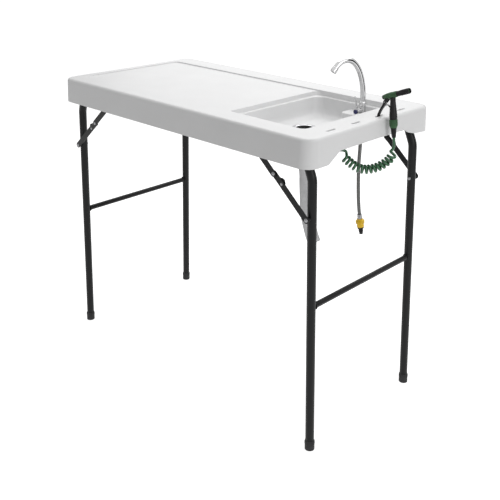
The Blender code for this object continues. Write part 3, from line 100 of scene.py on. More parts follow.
class TopLooks(PropertyGroup):
    """The moulded table top."""

    colour: FloatVectorProperty(
        name="Plastic", description="Colour of the moulded top", subtype="COLOR", size=3,
        default=(0.765, 0.766, 0.768), min=0, max=1,
    )
    dimple_pitch: FloatProperty(
        name="Dimple pitch", description="Spacing of the dimples under the top",
        default=0.034, unit="LENGTH",
    )
    dimple_depth: FloatProperty(
        name="Dimple depth", description="How far the dimples are pressed in",
        default=0.007, unit="LENGTH",
    )
    rib_pitch: FloatProperty(
        name="Rib pitch", description="Spacing of the ribs inside the apron",
        default=0.030, unit="LENGTH",
    )


class LegLooks(PropertyGroup):
    """The folding leg frames, stays and brackets."""

    colour: FloatVectorProperty(
        name="Powder coat", description="Colour of the coated steel", subtype="COLOR", size=3,
        default=(0.009, 0.0094, 0.0098), min=0, max=1,
    )
    cap_colour: FloatVectorProperty(
        name="Foot cap", description="Colour of the foot caps", subtype="COLOR", size=3,
        default=(0.014, 0.014, 0.015), min=0, max=1,
    )
    weld: FloatProperty(
        name="Weld bead", description="Thickness of the weld beads", default=0.0022, unit="LENGTH",
    )


class WaterLooks(PropertyGroup):
    """The tap, the drain and the supply hose."""

    chrome: FloatVectorProperty(
        name="Chrome", description="Colour of the chromed metal", subtype="COLOR", size=3,
        default=(0.62, 0.62, 0.625), min=0, max=1,
    )
    cap_colour: FloatVectorProperty(
        name="Tap cap", description="Colour of the button on the valve", subtype="COLOR", size=3,
        default=(0.014, 0.016, 0.10), min=0, max=1,
    )
    coupling_colour: FloatVectorProperty(
        name="Coupling", description="Colour of the coupling and the wing nut", subtype="COLOR", size=3,
        default=(0.86, 0.55, 0.022), min=0, max=1,
    )
    drain_colour: FloatVectorProperty(
        name="Drain hose", description="Colour of the lay-flat drain hose", subtype="COLOR", size=3,
        default=(0.60, 0.60, 0.605), min=0, max=1,
    )


class GunLooks(PropertyGroup):
    """The spray gun and its curly hose."""

    green: FloatVectorProperty(
        name="Gun green", description="Colour of the gun's moulded body", subtype="COLOR", size=3,
        default=(0.030, 0.095, 0.036), min=0, max=1,
    )
    black: FloatVectorProperty(
        name="Gun black", description="Colour of the grip and the nozzle", subtype="COLOR", size=3,
        default=(0.008, 0.008, 0.0085), min=0, max=1,
    )
    hose_green: FloatVectorProperty(
        name="Hose green", description="Colour of the curly hose", subtype="COLOR", size=3,
        default=(0.020, 0.115, 0.042), min=0, max=1,
    )
    points_per_curl: IntProperty(
        name="Points per curl", description="Rings along each turn of the curly hose",
        default=22, min=12, max=48,
    )


class StageLooks(PropertyGroup):
    """Lamps, floor and camera."""

    ambient: FloatProperty(name="Ambient", description="Strength of the sky light", default=0.45)
    key: FloatProperty(
        name="Key light", description="Power of the overhead lamp", default=55, unit="POWER",
    )
    side: FloatProperty(
        name="Side light", description="Power of the lamp at the sink end", default=26, unit="POWER",
    )
    floor_lift: FloatProperty(
        name="Floor lift", description="Extra brightness of the seen floor", default=0.70,
    )


# Finishes

def nodes_of(name):
    """A new material with its tree, its shader and its Object coordinates."""
    material = bpy.data.materials.new(name)
    material.use_nodes = True
    tree = material.node_tree
    shader = tree.nodes["Principled BSDF"]
    place = tree.nodes.new("ShaderNodeTexCoord")
    return material, tree, shader, place.outputs["Object"]


def noise(tree, vector, scale, detail, stretch=None):
    """Noise of that scale; stretch scales the pattern along each axis first."""
    if stretch is not None:
        mapping = tree.nodes.new("ShaderNodeMapping")
        mapping.inputs["Scale"].default_value = stretch
        tree.links.new(vector, mapping.inputs["Vector"])
        vector = mapping.outputs["Vector"]
    node = tree.nodes.new("ShaderNodeTexNoise")
    node.inputs["Scale"].default_value = scale
    node.inputs["Detail"].default_value = detail
    tree.links.new(vector, node.inputs["Vector"])
    return node.outputs["Fac"]


def calculated(tree, operation, first, second):
    """A math node over a socket and either another socket or a plain number."""
    node = tree.nodes.new("ShaderNodeMath")
    node.operation = operation
    tree.links.new(first, node.inputs[0])
    if isinstance(second, float):
        node.inputs[1].default_value = second
    else:
        tree.links.new(second, node.inputs[1])
    return node.outputs["Value"]


def spread(tree, value, low, high):
    """The middle range of a noise, turned into low to high."""
    node = tree.nodes.new("ShaderNodeMapRange")
    for name, limit in (("From Min", 0.3), ("From Max", 0.7), ("To Min", low), ("To Max", high)):
        node.inputs[name].default_value = limit
    tree.links.new(value, node.inputs["Value"])
    return node.outputs["Result"]


def tint(tree, shader, value, colour, low, high):
    """Base colour that varies with the value between a darker and a lighter shade."""
    ramp = tree.nodes.new("ShaderNodeValToRGB")
    ramp.color_ramp.elements[0].position = 0.3
    ramp.color_ramp.elements[1].position = 0.7
    for element, share in zip(ramp.color_ramp.elements, (low, high)):
        element.color = (*[min(1.0, c * share) for c in colour], 1)
    tree.links.new(value, ramp.inputs["Fac"])
    tree.links.new(ramp.outputs["Color"], shader.inputs["Base Color"])
    return ramp


def bumps(tree, shader, layers):
    """Bump nodes in a row, one for each (height, strength, distance)."""
    normal = None
    for height, strength, distance in layers:
        bump = tree.nodes.new("ShaderNodeBump")
        bump.inputs["Strength"].default_value = strength
        bump.inputs["Distance"].default_value = distance
        tree.links.new(height, bump.inputs["Height"])
        if normal is not None:
            tree.links.new(normal, bump.inputs["Normal"])
        normal = bump.outputs["Normal"]
    tree.links.new(normal, shader.inputs["Normal"])


def moulded_top_finish(colour):
    """Blow-moulded polyethylene: a fine pebble skin over slow waves."""
    material, tree, shader, place = nodes_of("moulded_top")
    waves = noise(tree, place, 9, 2)
    pebbles = noise(tree, place, 900, 2)
    tint(tree, shader, waves, colour, 0.985, 1.012)
    tree.links.new(spread(tree, pebbles, 0.36, 0.50), shader.inputs["Roughness"])
    shader.inputs["Specular IOR Level"].default_value = 0.42
    bumps(tree, shader, [(waves, 0.35, 0.0012), (pebbles, 0.16, 0.0005)])
    return material


def powder_coat_finish(name, colour):
    """Satin powder coat with its fine orange peel."""
    material, tree, shader, place = nodes_of(name)
    peel = noise(tree, place, 700, 3)
    cloud = noise(tree, place, 22, 3)
    tint(tree, shader, cloud, colour, 0.86, 1.16)
    tree.links.new(spread(tree, cloud, 0.30, 0.40), shader.inputs["Roughness"])
    shader.inputs["Specular IOR Level"].default_value = 0.20
    bumps(tree, shader, [(peel, 0.22, 0.0004)])
    return material


def chrome_finish(name, colour):
    """Bright plate with faint smears."""
    roughness = 0.07
    material, tree, shader, place = nodes_of(name)
    smears = noise(tree, place, 60, 4)
    tint(tree, shader, smears, colour, 0.97, 1.03)
    tree.links.new(spread(tree, smears, roughness * 0.7, roughness * 1.5), shader.inputs["Roughness"])
    shader.inputs["Metallic"].default_value = 1.0
    bumps(tree, shader, [(smears, 0.03, 0.0004)])
    return material


def brushed_steel_finish(name, colour, stretch=(1, 1, 40)):
    """Pressed steel with drawn lines."""
    material, tree, shader, place = nodes_of(name)
    lines = noise(tree, place, 120, 4, stretch)
    tint(tree, shader, lines, colour, 0.86, 1.08)
    tree.links.new(spread(tree, lines, 0.20, 0.38), shader.inputs["Roughness"])
    shader.inputs["Metallic"].default_value = 1.0
    bumps(tree, shader, [(lines, 0.10, 0.0003)])
    return material


def moulded_finish(name, colour, roughness, grain=1100, strength=0.18, gloss=0.5):
    """Injection-moulded plastic with a fine sandblasted grain."""
    material, tree, shader, place = nodes_of(name)
    skin = noise(tree, place, grain, 2)
    cloud = noise(tree, place, 45, 3)
    tint(tree, shader, cloud, colour, 0.88, 1.12)
    tree.links.new(spread(tree, cloud, roughness * 0.85, roughness * 1.15), shader.inputs["Roughness"])
    shader.inputs["Specular IOR Level"].default_value = gloss
    bumps(tree, shader, [(skin, strength, 0.0004)])
    return material


def hose_finish(name, colour):
    """Polyurethane tube: smooth, with a skin of faint long draw lines."""
    roughness = 0.30
    material, tree, shader, place = nodes_of(name)
    cloud = noise(tree, place, 90, 3)
    fine = noise(tree, place, 1500, 2)
    tint(tree, shader, cloud, colour, 0.80, 1.25)
    tree.links.new(spread(tree, cloud, roughness * 0.8, roughness * 1.2), shader.inputs["Roughness"])
    shader.inputs["Coat Weight"].default_value = 0.25
    shader.inputs["Coat Roughness"].default_value = 0.12
    bumps(tree, shader, [(cloud, 0.15, 0.0006), (fine, 0.06, 0.0002)])
    return material


def braid_finish(name, colour):
    """Crossed strands of steel wire, on the tube's own UV map: u round it, v along it in metres."""
    material, tree, shader, place = nodes_of(name)
    uv = tree.nodes.new("ShaderNodeUVMap")
    uv.uv_map = "along"
    strands = []
    for way in (1, -1):
        turn = tree.nodes.new("ShaderNodeMapping")
        turn.inputs["Scale"].default_value = (6, way * 330, 1)
        tree.links.new(uv.outputs["UV"], turn.inputs["Vector"])
        split = tree.nodes.new("ShaderNodeSeparateXYZ")
        tree.links.new(turn.outputs["Vector"], split.inputs["Vector"])
        total = calculated(tree, "ADD", split.outputs["X"], split.outputs["Y"])
        strands.append(calculated(tree, "PINGPONG", total, 0.5))
    height = calculated(tree, "MAXIMUM", *strands)
    ramp = tint(tree, shader, height, colour, 0.30, 1.15)
    ramp.color_ramp.elements[0].position = 0.18
    ramp.color_ramp.elements[1].position = 0.42
    shader.inputs["Metallic"].default_value = 0.85
    shader.inputs["Roughness"].default_value = 0.34
    bumps(tree, shader, [(height, 0.7, 0.0010)])
    return material


def soft_hose_finish(name, colour):
    """Thin soft vinyl with long creases."""
    material, tree, shader, place = nodes_of(name)
    creases = noise(tree, place, 60, 4, (1, 1, 0.35))
    fine = noise(tree, place, 500, 2)
    tint(tree, shader, creases, colour, 0.90, 1.06)
    tree.links.new(spread(tree, creases, 0.34, 0.52), shader.inputs["Roughness"])
    shader.inputs["Subsurface Weight"].default_value = 0.12
    shader.inputs["Subsurface Radius"].default_value = (0.004, 0.004, 0.004)
    shader.inputs["Subsurface Scale"].default_value = 1.0
    bumps(tree, shader, [(creases, 0.45, 0.0020), (fine, 0.05, 0.0002)])
    return material


def rubber_finish(name, colour):
    """Matt black rubber with a little bloom."""
    material, tree, shader, place = nodes_of(name)
    bloom = noise(tree, place, 130, 4)
    skin = noise(tree, place, 1400, 2)
    tint(tree, shader, bloom, colour, 0.8, 1.5)
    tree.links.new(spread(tree, bloom, 0.62, 0.80), shader.inputs["Roughness"])
    bumps(tree, shader, [(skin, 0.20, 0.0004)])
    return material


FINISHES = {}


def make_finishes(scene):
    top, legs, water, gun = scene.top_looks, scene.leg_looks, scene.water_looks, scene.gun_looks
    FINISHES.update(
        white_plastic=moulded_top_finish(top.colour),
        black_steel=powder_coat_finish("powder_coat", legs.colour),
        black_rubber=rubber_finish("foot_rubber", legs.cap_colour),
        chrome=chrome_finish("chrome", water.chrome),
        bare_steel=brushed_steel_finish("pressed_steel", (0.56, 0.56, 0.57)),
        rivet_steel=brushed_steel_finish("rivet_steel", (0.30, 0.30, 0.31), (1, 1, 1)),
        braid=braid_finish("wire_braid", (0.14, 0.14, 0.137)),
        blue_plastic=moulded_finish("blue_cap", water.cap_colour, 0.26, 900, 0.05),
        yellow_plastic=moulded_finish("yellow_moulding", water.coupling_colour, 0.36),
        white_nut=moulded_finish("white_moulding", (0.76, 0.76, 0.75), 0.40),
        white_hose=soft_hose_finish("soft_vinyl", water.drain_colour),
        green_plastic=moulded_finish("green_moulding", gun.green, 0.38, gloss=0.35),
        black_plastic=moulded_finish("black_moulding", gun.black, 0.40, gloss=0.24),
        green_hose=hose_finish("green_tube", gun.hose_green),
    )


# Tools for shaping

def deselect():
    if bpy.context.object is not None and bpy.context.object.mode != "OBJECT":
        bpy.ops.object.mode_set(mode="OBJECT")
    bpy.ops.object.select_all(action="DESELECT")


def pick(obj):
    """Makes obj the one selected, active object."""
    deselect()
    obj.select_set(True)
    bpy.context.view_layer.objects.active = obj
    return obj


def edit(obj):
    pick(obj)
    bpy.ops.object.mode_set(mode="EDIT")
    bpy.ops.mesh.select_all(action="SELECT")


def add_modifier(obj, kind, **settings):
    """Adds a modifier and applies it at once."""
    pick(obj)
    modifier = obj.modifiers.new(kind.lower(), kind)
    for key, value in settings.items():
        setattr(modifier, key, value)
    bpy.ops.object.modifier_apply(modifier=modifier.name)
    return obj


def smooth(obj, degrees):
    pick(obj)
    bpy.ops.object.shade_smooth_by_angle(angle=math.radians(degrees))
    return obj


def ease(obj, width, segments=2, degrees=32):
    """Rounds the sharp edges and evens the shading beside them."""
    if width:
        add_modifier(
            obj, "BEVEL", width=width, segments=segments, limit_method="ANGLE",
            angle_limit=math.radians(degrees), use_clamp_overlap=True,
        )
    smooth(obj, 40)
    return add_modifier(obj, "WEIGHTED_NORMAL", keep_sharp=True, weight=50)


def place_at(obj, start, way):
    """Turns a piece made along +Z so that it points along way from start."""
    turn = UP.rotation_difference(Vector(way).normalized()).to_matrix().to_4x4()
    obj.data.transform(Matrix.Translation(Vector(start)) @ turn)
    return obj


def settle(obj, name, body, finish, stands_for=()):
    """Names a finished piece, gives it its finish, and lets it ride on its body."""
    pick(obj)
    bpy.ops.object.transform_apply(location=True, rotation=True, scale=True)
    obj.name = name
    obj.data.name = name
    obj.data.materials.clear()
    obj.data.materials.append(FINISHES[finish])
    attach(obj, body)
    if stands_for:
        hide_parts(*([stands_for] if isinstance(stands_for, str) else stands_for))
    return obj


def ring_turned(profile, sides):
    """A round piece along +Z: a disc drawn up through (radius, height) pairs, closed at both ends.
    A profile that ends where it starts makes a ring."""
    deselect()
    closed = (Vector(profile[0]) - Vector(profile[-1])).length < 1e-9
    bpy.ops.mesh.primitive_circle_add(
        vertices=sides, radius=profile[0][0], fill_type="NOTHING" if closed else "NGON",
        location=(0, 0, profile[0][1]),
    )
    obj = bpy.context.object
    bpy.ops.object.transform_apply(location=True, rotation=True, scale=True)
    edit(obj)
    for (r0, z0), (r1, z1) in zip(profile, profile[1:]):
        bpy.ops.mesh.extrude_region_move(TRANSFORM_OT_translate={"value": (0, 0, z1 - z0)})
        if abs(r1 - r0) > 1e-9:
            bpy.ops.transform.resize(value=(r1 / r0, r1 / r0, 1), center_override=(0, 0, z1))
    bpy.ops.mesh.select_all(action="SELECT")
    bpy.ops.mesh.remove_doubles(threshold=1e-6)
    bpy.ops.mesh.normals_make_consistent(inside=False)
    bpy.ops.object.mode_set(mode="OBJECT")
    return obj


def joined(*objs):
    """Several shapes as one object."""
    pick(objs[0])
    for obj in objs[1:]:
        obj.select_set(True)
    bpy.ops.object.join()
    return bpy.context.object


def copies_at(obj, places):
    """Copies of a shape, each moved by its own matrix, joined into one object."""
    made = []
    for place in places:
        copy = obj.copy()
        copy.data = obj.data.copy()
        copy.data.transform(place)
        bpy.context.scene.collection.objects.link(copy)
        made.append(copy)
    bpy.data.objects.remove(obj)
    return joined(*made)


def in_circle(profile, count, radius, sides=8, shift=0.0):
    """Small turned pieces in a circle round the axis, as one shape."""
    made = []
    for k in range(count):
        angle = 2 * math.pi * (k + shift) / count
        piece = ring_turned(profile, sides)
        piece.data.transform(Matrix.Translation((radius * math.cos(angle), radius * math.sin(angle), 0)))
        made.append(piece)
    return joined(*made)


def cut_away(obj, cutter):
    """Takes one shape out of another and removes the cutter."""
    add_modifier(obj, "BOOLEAN", operation="DIFFERENCE", solver="EXACT", object=cutter)
    bpy.data.objects.remove(cutter)
    return obj


def smoothstep(t):
    t = max(0.0, min(1.0, t))
    return t * t * (3 - 2 * t)


def cad_copy(node, bevel, segments=2):
    """A copy of a CAD piece, its triangles merged, its edges eased and its round faces smooth."""
    source = NODES[node]
    copy = source.copy()
    copy.data = source.data.copy()
    copy.parent = None
    for key in list(copy.keys()):
        del copy[key]
    bpy.context.scene.collection.objects.link(copy)
    copy.hide_render = False
    copy.hide_viewport = False
    edit(copy)
    bpy.ops.mesh.remove_doubles(threshold=2e-6)
    bpy.ops.mesh.dissolve_limited(angle_limit=math.radians(0.8))
    bpy.ops.mesh.customdata_custom_splitnormals_clear()
    bpy.ops.object.mode_set(mode="OBJECT")
    return ease(copy, bevel, segments)


def refine(node, finish, bevel):
    """Stands a smoother copy of a CAD piece in its place, on the same body."""
    copy = cad_copy(node, bevel)
    body = NODES[node]["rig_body"]
    return settle(copy, node + "_finished", body, finish, node)


def walked_along(points):
    """How far along the line each point lies."""
    walked = [0.0]
    for p, q in zip(points, points[1:]):
        walked.append(walked[-1] + (q - p).length)
    return walked


def smooth_line(points, spacing):
    """Evenly spaced points on one smooth curve through a route's own points."""
    points = [Vector(p) for p in points]
    padded = [points[0] * 2 - points[1]] + points + [points[-1] * 2 - points[-2]]
    fine = []
    for a, b, c, d in zip(padded, padded[1:], padded[2:], padded[3:]):
        for i in range(24):
            t = i / 24
            linear = b * 2 + (c - a) * t
            square = (a * 2 - b * 5 + c * 4 - d) * t * t
            cube = (b * 3 - a - c * 3 + d) * t * t * t
            fine.append((linear + square + cube) / 2)
    fine.append(points[-1])
    walked = walked_along(fine)
    count = max(2, round(walked[-1] / spacing))
    result = []
    k = 0
    for i in range(count + 1):
        goal = walked[-1] * i / count
        while k < len(fine) - 2 and walked[k + 1] < goal:
            k += 1
        share = (goal - walked[k]) / (walked[k + 1] - walked[k])
        result.append(fine[k].lerp(fine[k + 1], share))
    return result


def ways_along(points):
    """The unit tangent at each point."""
    last = len(points) - 1
    return [(points[min(i + 1, last)] - points[max(i - 1, 0)]).normalized() for i in range(last + 1)]


def frames_along(points):
    """Tangent and two square directions at each point, carried along without twist."""
    ways = ways_along(points)
    side = ways[0].cross(UP if abs(ways[0].z) < 0.9 else Vector((1, 0, 0))).normalized()
    made = []
    for way in ways:
        side = (side - way * side.dot(way)).normalized()
        made.append((way, side, way.cross(side)))
    return made


def tube(points, section, sides=24, wall=0.0):
    """A tube along the points.  section(i) gives the rings' two half widths and their turn.
    Its UV map "along" has u round the tube and v along it in metres."""
    mesh = bpy.data.meshes.new("tube")
    bm = bmesh.new()
    uv = bm.loops.layers.uv.new("along")
    walked = walked_along(points)
    rings = []
    for i, (point, (_, side, up)) in enumerate(zip(points, frames_along(points))):
        wide, thin, turn = section(i)
        corners = []
        for k in range(sides):
            angle = 2 * math.pi * k / sides
            x, y = wide * math.cos(angle), thin * math.sin(angle)
            c, s = math.cos(turn), math.sin(turn)
            corners.append(bm.verts.new(point + side * (x * c - y * s) + up * (x * s + y * c)))
        rings.append(corners)
    for i, (a, b) in enumerate(zip(rings, rings[1:])):
        for k in range(sides):
            n = (k + 1) % sides
            face = bm.faces.new((a[k], a[n], b[n], b[k]))
            for loop, u, v in zip(face.loops, (k, k + 1, k + 1, k), (i, i, i + 1, i + 1)):
                loop[uv].uv = (u / sides, walked[v])
    if not wall:
        bm.faces.new(rings[0][::-1])
        bm.faces.new(rings[-1])
    bm.normal_update()
    bm.to_mesh(mesh)
    bm.free()
    obj = bpy.data.objects.new("tube", mesh)
    bpy.context.scene.collection.objects.link(obj)
    if wall:
        add_modifier(obj, "SOLIDIFY", thickness=wall, offset=-1)
    return smooth(obj, 50)


# Hoses

def curly_route():
    """The curly hose's line: from the tee under the bowl, the droop, and up to the gun."""
    lead = [
        (0.40105, 0.1700, 0.9077), (0.41305, 0.1700, 0.9077), (0.43075, 0.1600, 0.9050),
        (0.44275, 0.1200, 0.8990), (0.44575, 0.0600, 0.8955), (0.44525, 0.0050, 0.8960),
        (0.44425, -0.0350, 0.8975), (0.44875, -0.0560, 0.8980), (0.45725, -0.0570, 0.8980),
        (0.46475, -0.0460, 0.8975), (0.47075, -0.0345, 0.8930),
    ]
    droop = [
        (0.47045, -0.0411, 0.8759), (0.48545, -0.0268, 0.8579), (0.50075, -0.0122, 0.8441),
        (0.51885, 0.0050, 0.8390), (0.53915, 0.0244, 0.8445), (0.55635, 0.0408, 0.8571),
        (0.56925, 0.0530, 0.8745), (0.57355, 0.0568, 0.8920),
    ]
    return [Vector(p) for p in lead], [Vector(p) for p in droop]


CURLS = 14.25
CURL_RADIUS = 0.01075
CURLY_TUBE = 0.00375
CURLY_SKIN = 0.0042
LAST_CURL = 0.75
LAST_CURL_RUN = 0.030


def nearest(points, place):
    return min(range(len(points)), key=lambda i: (points[i] - place).length)


def curly_line(points_per_curl):
    """One unbroken line: the straight lead, the helix round the droop, and the straight end.
    The lead meets the first curl at its top, and the last curl draws out into the straight end."""
    lead, droop = curly_route()
    step = 0.001
    tail = [GUN_TAIL_END + DOWN_GRIP * below for below in (0.022, 0.009, 0)]
    whole = smooth_line(droop + tail, step)
    pitch = nearest(whole, droop[-1]) / CURLS
    drawn_from = (CURLS - LAST_CURL) * pitch
    drawn_to = drawn_from + LAST_CURL_RUN / step
    across = UP
    frames = []
    for way in ways_along(whole):
        across = (across - way * across.dot(way)).normalized()
        frames.append((across, way.cross(across)))
    coil = []
    count = round(CURLS * points_per_curl)
    for i in range(count + 1):
        turn = CURLS * i / count
        late = max(0.0, 1 - (CURLS - turn) / LAST_CURL)
        place = min(turn, CURLS - LAST_CURL) * pitch
        place += LAST_CURL * pitch * late + (drawn_to - drawn_from - LAST_CURL * pitch) * late * late
        k = int(place)
        centre = whole[k].lerp(whole[k + 1], place - k)
        side, up = frames[k]
        left = 1 - max(0.0, (place - drawn_from) / (drawn_to - drawn_from))
        radius = CURL_RADIUS * left * left * (3 - 2 * left)
        angle = 2 * math.pi * turn
        coil.append(centre + side * radius * math.cos(angle) + up * radius * math.sin(angle))
    straight = Vector((CURLY_TUBE * 2, 0, 0))
    before = smooth_line([lead[0] + straight] + lead[1:] + [coil[0], coil[2]], CURLY_TUBE)
    after = whole[int(drawn_to) + 3 : -4] + [GUN_TAIL_END + DOWN_GRIP * straight.x]
    return [lead[0]] + before[: nearest(before, coil[0])] + coil + after[::3] + [GUN_TAIL_END]


# The table top

class CAMPSINK_OT_table_top(Operator):
    """Gives the moulded top its skin, the dimples under it and the ribs inside its apron"""

    bl_idname = "campsink.table_top"
    bl_label = "Table top"

    UNDERSIDE = 0.974
    RIB_Y = 0.2880
    RIB_X = 0.5665
    RIB_BOTTOM = 0.914
    RIB_START = -0.53
    RIB_RUN = 1.02

    def execute(self, context):
        looks = context.scene.top_looks
        top = cad_copy("table_top", 0)
        cut_away(top, self.dimples(looks))
        ease(top, 0.0009, 2, 38)
        settle(top, "moulded_top", "table", "white_plastic", "table_top")
        settle(self.ribs(looks), "apron_ribs", "table", "white_plastic")
        return {"FINISHED"}

    def taken(self, x, y):
        """Whether a bracket, the bowl or the edge stands at this place under the top."""
        if abs(y) > 0.262 or x < -0.548:
            return True
        if x > 0.150 and abs(y) < 0.232:
            return True
        near_pivot = any(abs(x - px) < 0.040 and 0.196 < abs(y) < 0.234 for px in PIVOT_X.values())
        near_stay = any(abs(x - sx) < 0.024 and abs(y) > 0.246 for sx, _ in STAY_TOP.values())
        return near_pivot or near_stay or x > 0.548

    def dimples(self, looks):
        """Cutters for the rows of shallow dimples."""
        depth = looks.dimple_depth
        one = ring_turned([(0.0098, -0.002), (0.0090, 0.0), (0.0060, depth * 0.7), (0.0036, depth)], 14)
        places = []
        for i in range(-16, 17):
            for j in range(-8, 9):
                shift = looks.dimple_pitch / 2 if j % 2 else 0
                x, y = i * looks.dimple_pitch + shift, j * 0.0300
                if not self.taken(x, y):
                    places.append(Matrix.Translation((x + TABLE_X, y, self.UNDERSIDE)))
        return copies_at(one, places)

    def ribs(self, looks):
        """Half-round ribs that stiffen the apron from the inside."""
        height = self.UNDERSIDE - self.RIB_BOTTOM
        one = ring_turned(
            [(0.0020, 0.0), (0.0040, 0.0012), (0.0050, 0.0045), (0.0050, height + 0.002)], 20
        )
        places = []
        count = int(self.RIB_RUN / looks.rib_pitch)
        for i in range(count + 1):
            x = self.RIB_START + i * looks.rib_pitch
            for side in SIDES.values():
                places.append(Matrix.Translation((x + TABLE_X, side * self.RIB_Y, self.RIB_BOTTOM)))
        for j in range(-8, 9):
            y = j * looks.rib_pitch
            places.append(Matrix.Translation((-self.RIB_X + TABLE_X, y, self.RIB_BOTTOM)))
        return smooth(copies_at(one, places), 45)


# Legs, brackets and stays

class CAMPSINK_OT_leg_frames(Operator):
    """Coats the leg tubes, beads the welds and ribs the foot caps"""

    bl_idname = "campsink.leg_frames"
    bl_label = "Leg frames"

    LEG_TOP_Y = 0.247
    FOOT_Y = 0.258

    def execute(self, context):
        looks = context.scene.leg_looks
        for end in ENDS:
            body = end + "_legs"
            refine(end + "_pivot_tube", "black_steel", 0.0004)
            refine(end + "_crossbar", "black_steel", 0)
            welds = []
            for side_name, side in SIDES.items():
                refine(f"{end}_leg_{side_name}", "black_steel", 0.0003)
                refine(f"{end}_foot_{side_name}", "black_rubber", 0.0008)
                welds += self.weld(end, side, looks)
                settle(self.cap_ribs(end, side_name), f"{end}_foot_ribs_{side_name}", body, "black_rubber")
            settle(joined(*welds), end + "_welds", body, "black_steel")
        return {"FINISHED"}

    def weld(self, end, side, looks):
        """The beads where the crossbar and the pivot tube meet a leg."""
        low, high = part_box(end + "_crossbar")
        middle = (low + high) / 2
        y = (high.y if side > 0 else low.y) - side * 0.0006
        beads = [ring((middle.x, y, middle.z), (0, side, 0), 0.0100, looks.weld)]
        low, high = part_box(end + "_pivot_tube")
        leg_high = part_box(f"{end}_leg_{'back' if side > 0 else 'front'}")[1]
        middle = (low + high) / 2
        place = (middle.x, side * self.LEG_TOP_Y, leg_high.z - 0.0012)
        beads.append(ring(place, UP, 0.0132, looks.weld * 0.7))
        return beads

    def cap_ribs(self, end, side_name):
        """Two raised rings round a foot cap."""
        lean = Vector((-0.0438 * ENDS[end], -0.0127 * SIDES[side_name], 1)).normalized()
        foot = Vector((FOOT_X[end] + TABLE_X, self.FOOT_Y * SIDES[side_name], 0))
        heights = (0.0215, 0.0265)
        return joined(*[ring(foot + lean * height, lean, 0.0153, 0.0009) for height in heights])


def ring(centre, way, radius, thick, around=40, section=10):
    """A bead of round section."""
    deselect()
    turn = UP.rotation_difference(Vector(way).normalized()).to_euler()
    bpy.ops.mesh.primitive_torus_add(
        location=centre, rotation=turn, major_segments=around, minor_segments=section,
        major_radius=radius, minor_radius=thick,
    )
    bead = bpy.context.object
    bpy.ops.object.transform_apply(location=True, rotation=True, scale=True)
    bpy.ops.object.shade_smooth()
    return bead


def dome_head(centre, way, radius, height, sides=24):
    """A domed rivet head."""
    steps = 5
    profile = [(radius, 0.0)]
    for i in range(1, steps + 1):
        angle = math.pi / 2 * i / (steps + 0.35)
        profile.append((radius * math.cos(angle), height * math.sin(angle)))
    return smooth(place_at(ring_turned(profile, sides), centre, way), 60)


def screw_head(centre, way, radius=0.0052, height=0.0022):
    """A pan head with its cross recess."""
    head = dome_head(centre, way, radius, height)
    for turn in (0, math.pi / 2):
        deselect()
        bpy.ops.mesh.primitive_cube_add(size=1, location=(0, 0, 0))
        bar = bpy.context.object
        bar.data.transform(Matrix.Diagonal((radius * 1.15, radius * 0.22, height * 1.3, 1)))
        bar.data.transform(Matrix.Translation((0, 0, height)) @ Matrix.Rotation(turn, 4, "Z"))
        cut_away(head, place_at(bar, centre, way))
    return smooth(head, 40)


class CAMPSINK_OT_stays(Operator):
    """Coats the brackets and stays, and sets their rivets and screws"""

    bl_idname = "campsink.stays"
    bl_label = "Brackets and stays"

    KNEE = {"sink": (0.43062, 0.86483), "far": (-0.42240, 0.84860)}
    LEG_RIVET = {"sink": (0.55286, 0.757), "far": (-0.54347, 0.743)}
    HOOK = {"sink": (0.45912, 0.83969), "far": (-0.45103, 0.82360)}
    BRACKET_FACE = 0.9717

    # The name and the body of each set of rivets, and each rivet's place, distance from the middle,
    # facing (1 outward, -1 inward), radius and height.
    RIVETS = (
        ("knee_rivets", "upper_stays", ((KNEE, 0.2782, 1, 0.0056, 0.0022),)),
        ("hook_rivets", "lower_stays", ((HOOK, 0.2745, 1, 0.0042, 0.0010),)),
        ("leg_rivets", "legs", (
            (LEG_RIVET, 0.2748, 1, 0.0060, 0.0026), (LEG_RIVET, 0.2352, -1, 0.0054, 0.0028),
        )),
        ("stay_rivets", None, ((STAY_TOP, 0.2805, 1, 0.0052, 0.0020),)),
    )

    def execute(self, context):
        for end in ENDS:
            heads = {name: [] for name, *_ in self.RIVETS}
            screws = []
            for side_name, side in SIDES.items():
                for piece in ("pivot_bracket", "stay_bracket", "upper_stay", "lower_stay", "lock_hook"):
                    refine(f"{end}_{piece}_{side_name}", "black_steel", 0.0005)
                for name, _, rivets in self.RIVETS:
                    for places, y, facing, radius, height in rivets:
                        x, z = places[end]
                        centre = (x + TABLE_X, y * side, z)
                        heads[name].append(dome_head(centre, (0, side * facing, 0), radius, height))
                screws += self.screws(end, side)
            for name, body, _ in self.RIVETS:
                rides_on = f"{end}_{body}" if body else "table"
                settle(joined(*heads[name]), f"{end}_{name}", rides_on, "rivet_steel")
            settle(joined(*screws), end + "_bracket_screws", "table", "rivet_steel")
        return {"FINISHED"}

    def screws(self, end, side):
        """The screws that hold a side's brackets up to the top."""
        heads = []
        for dx in (-0.0220, 0.0220):
            x = PIVOT_X[end] + dx + TABLE_X
            heads.append(screw_head((x, 0.215 * side, self.BRACKET_FACE), DOWN))
        for dx in (-0.0065, 0.0065):
            x = STAY_TOP[end][0] + dx + TABLE_X
            heads.append(screw_head((x, 0.2672 * side, self.BRACKET_FACE), DOWN, 0.0042, 0.0018))
        return heads


# The tap

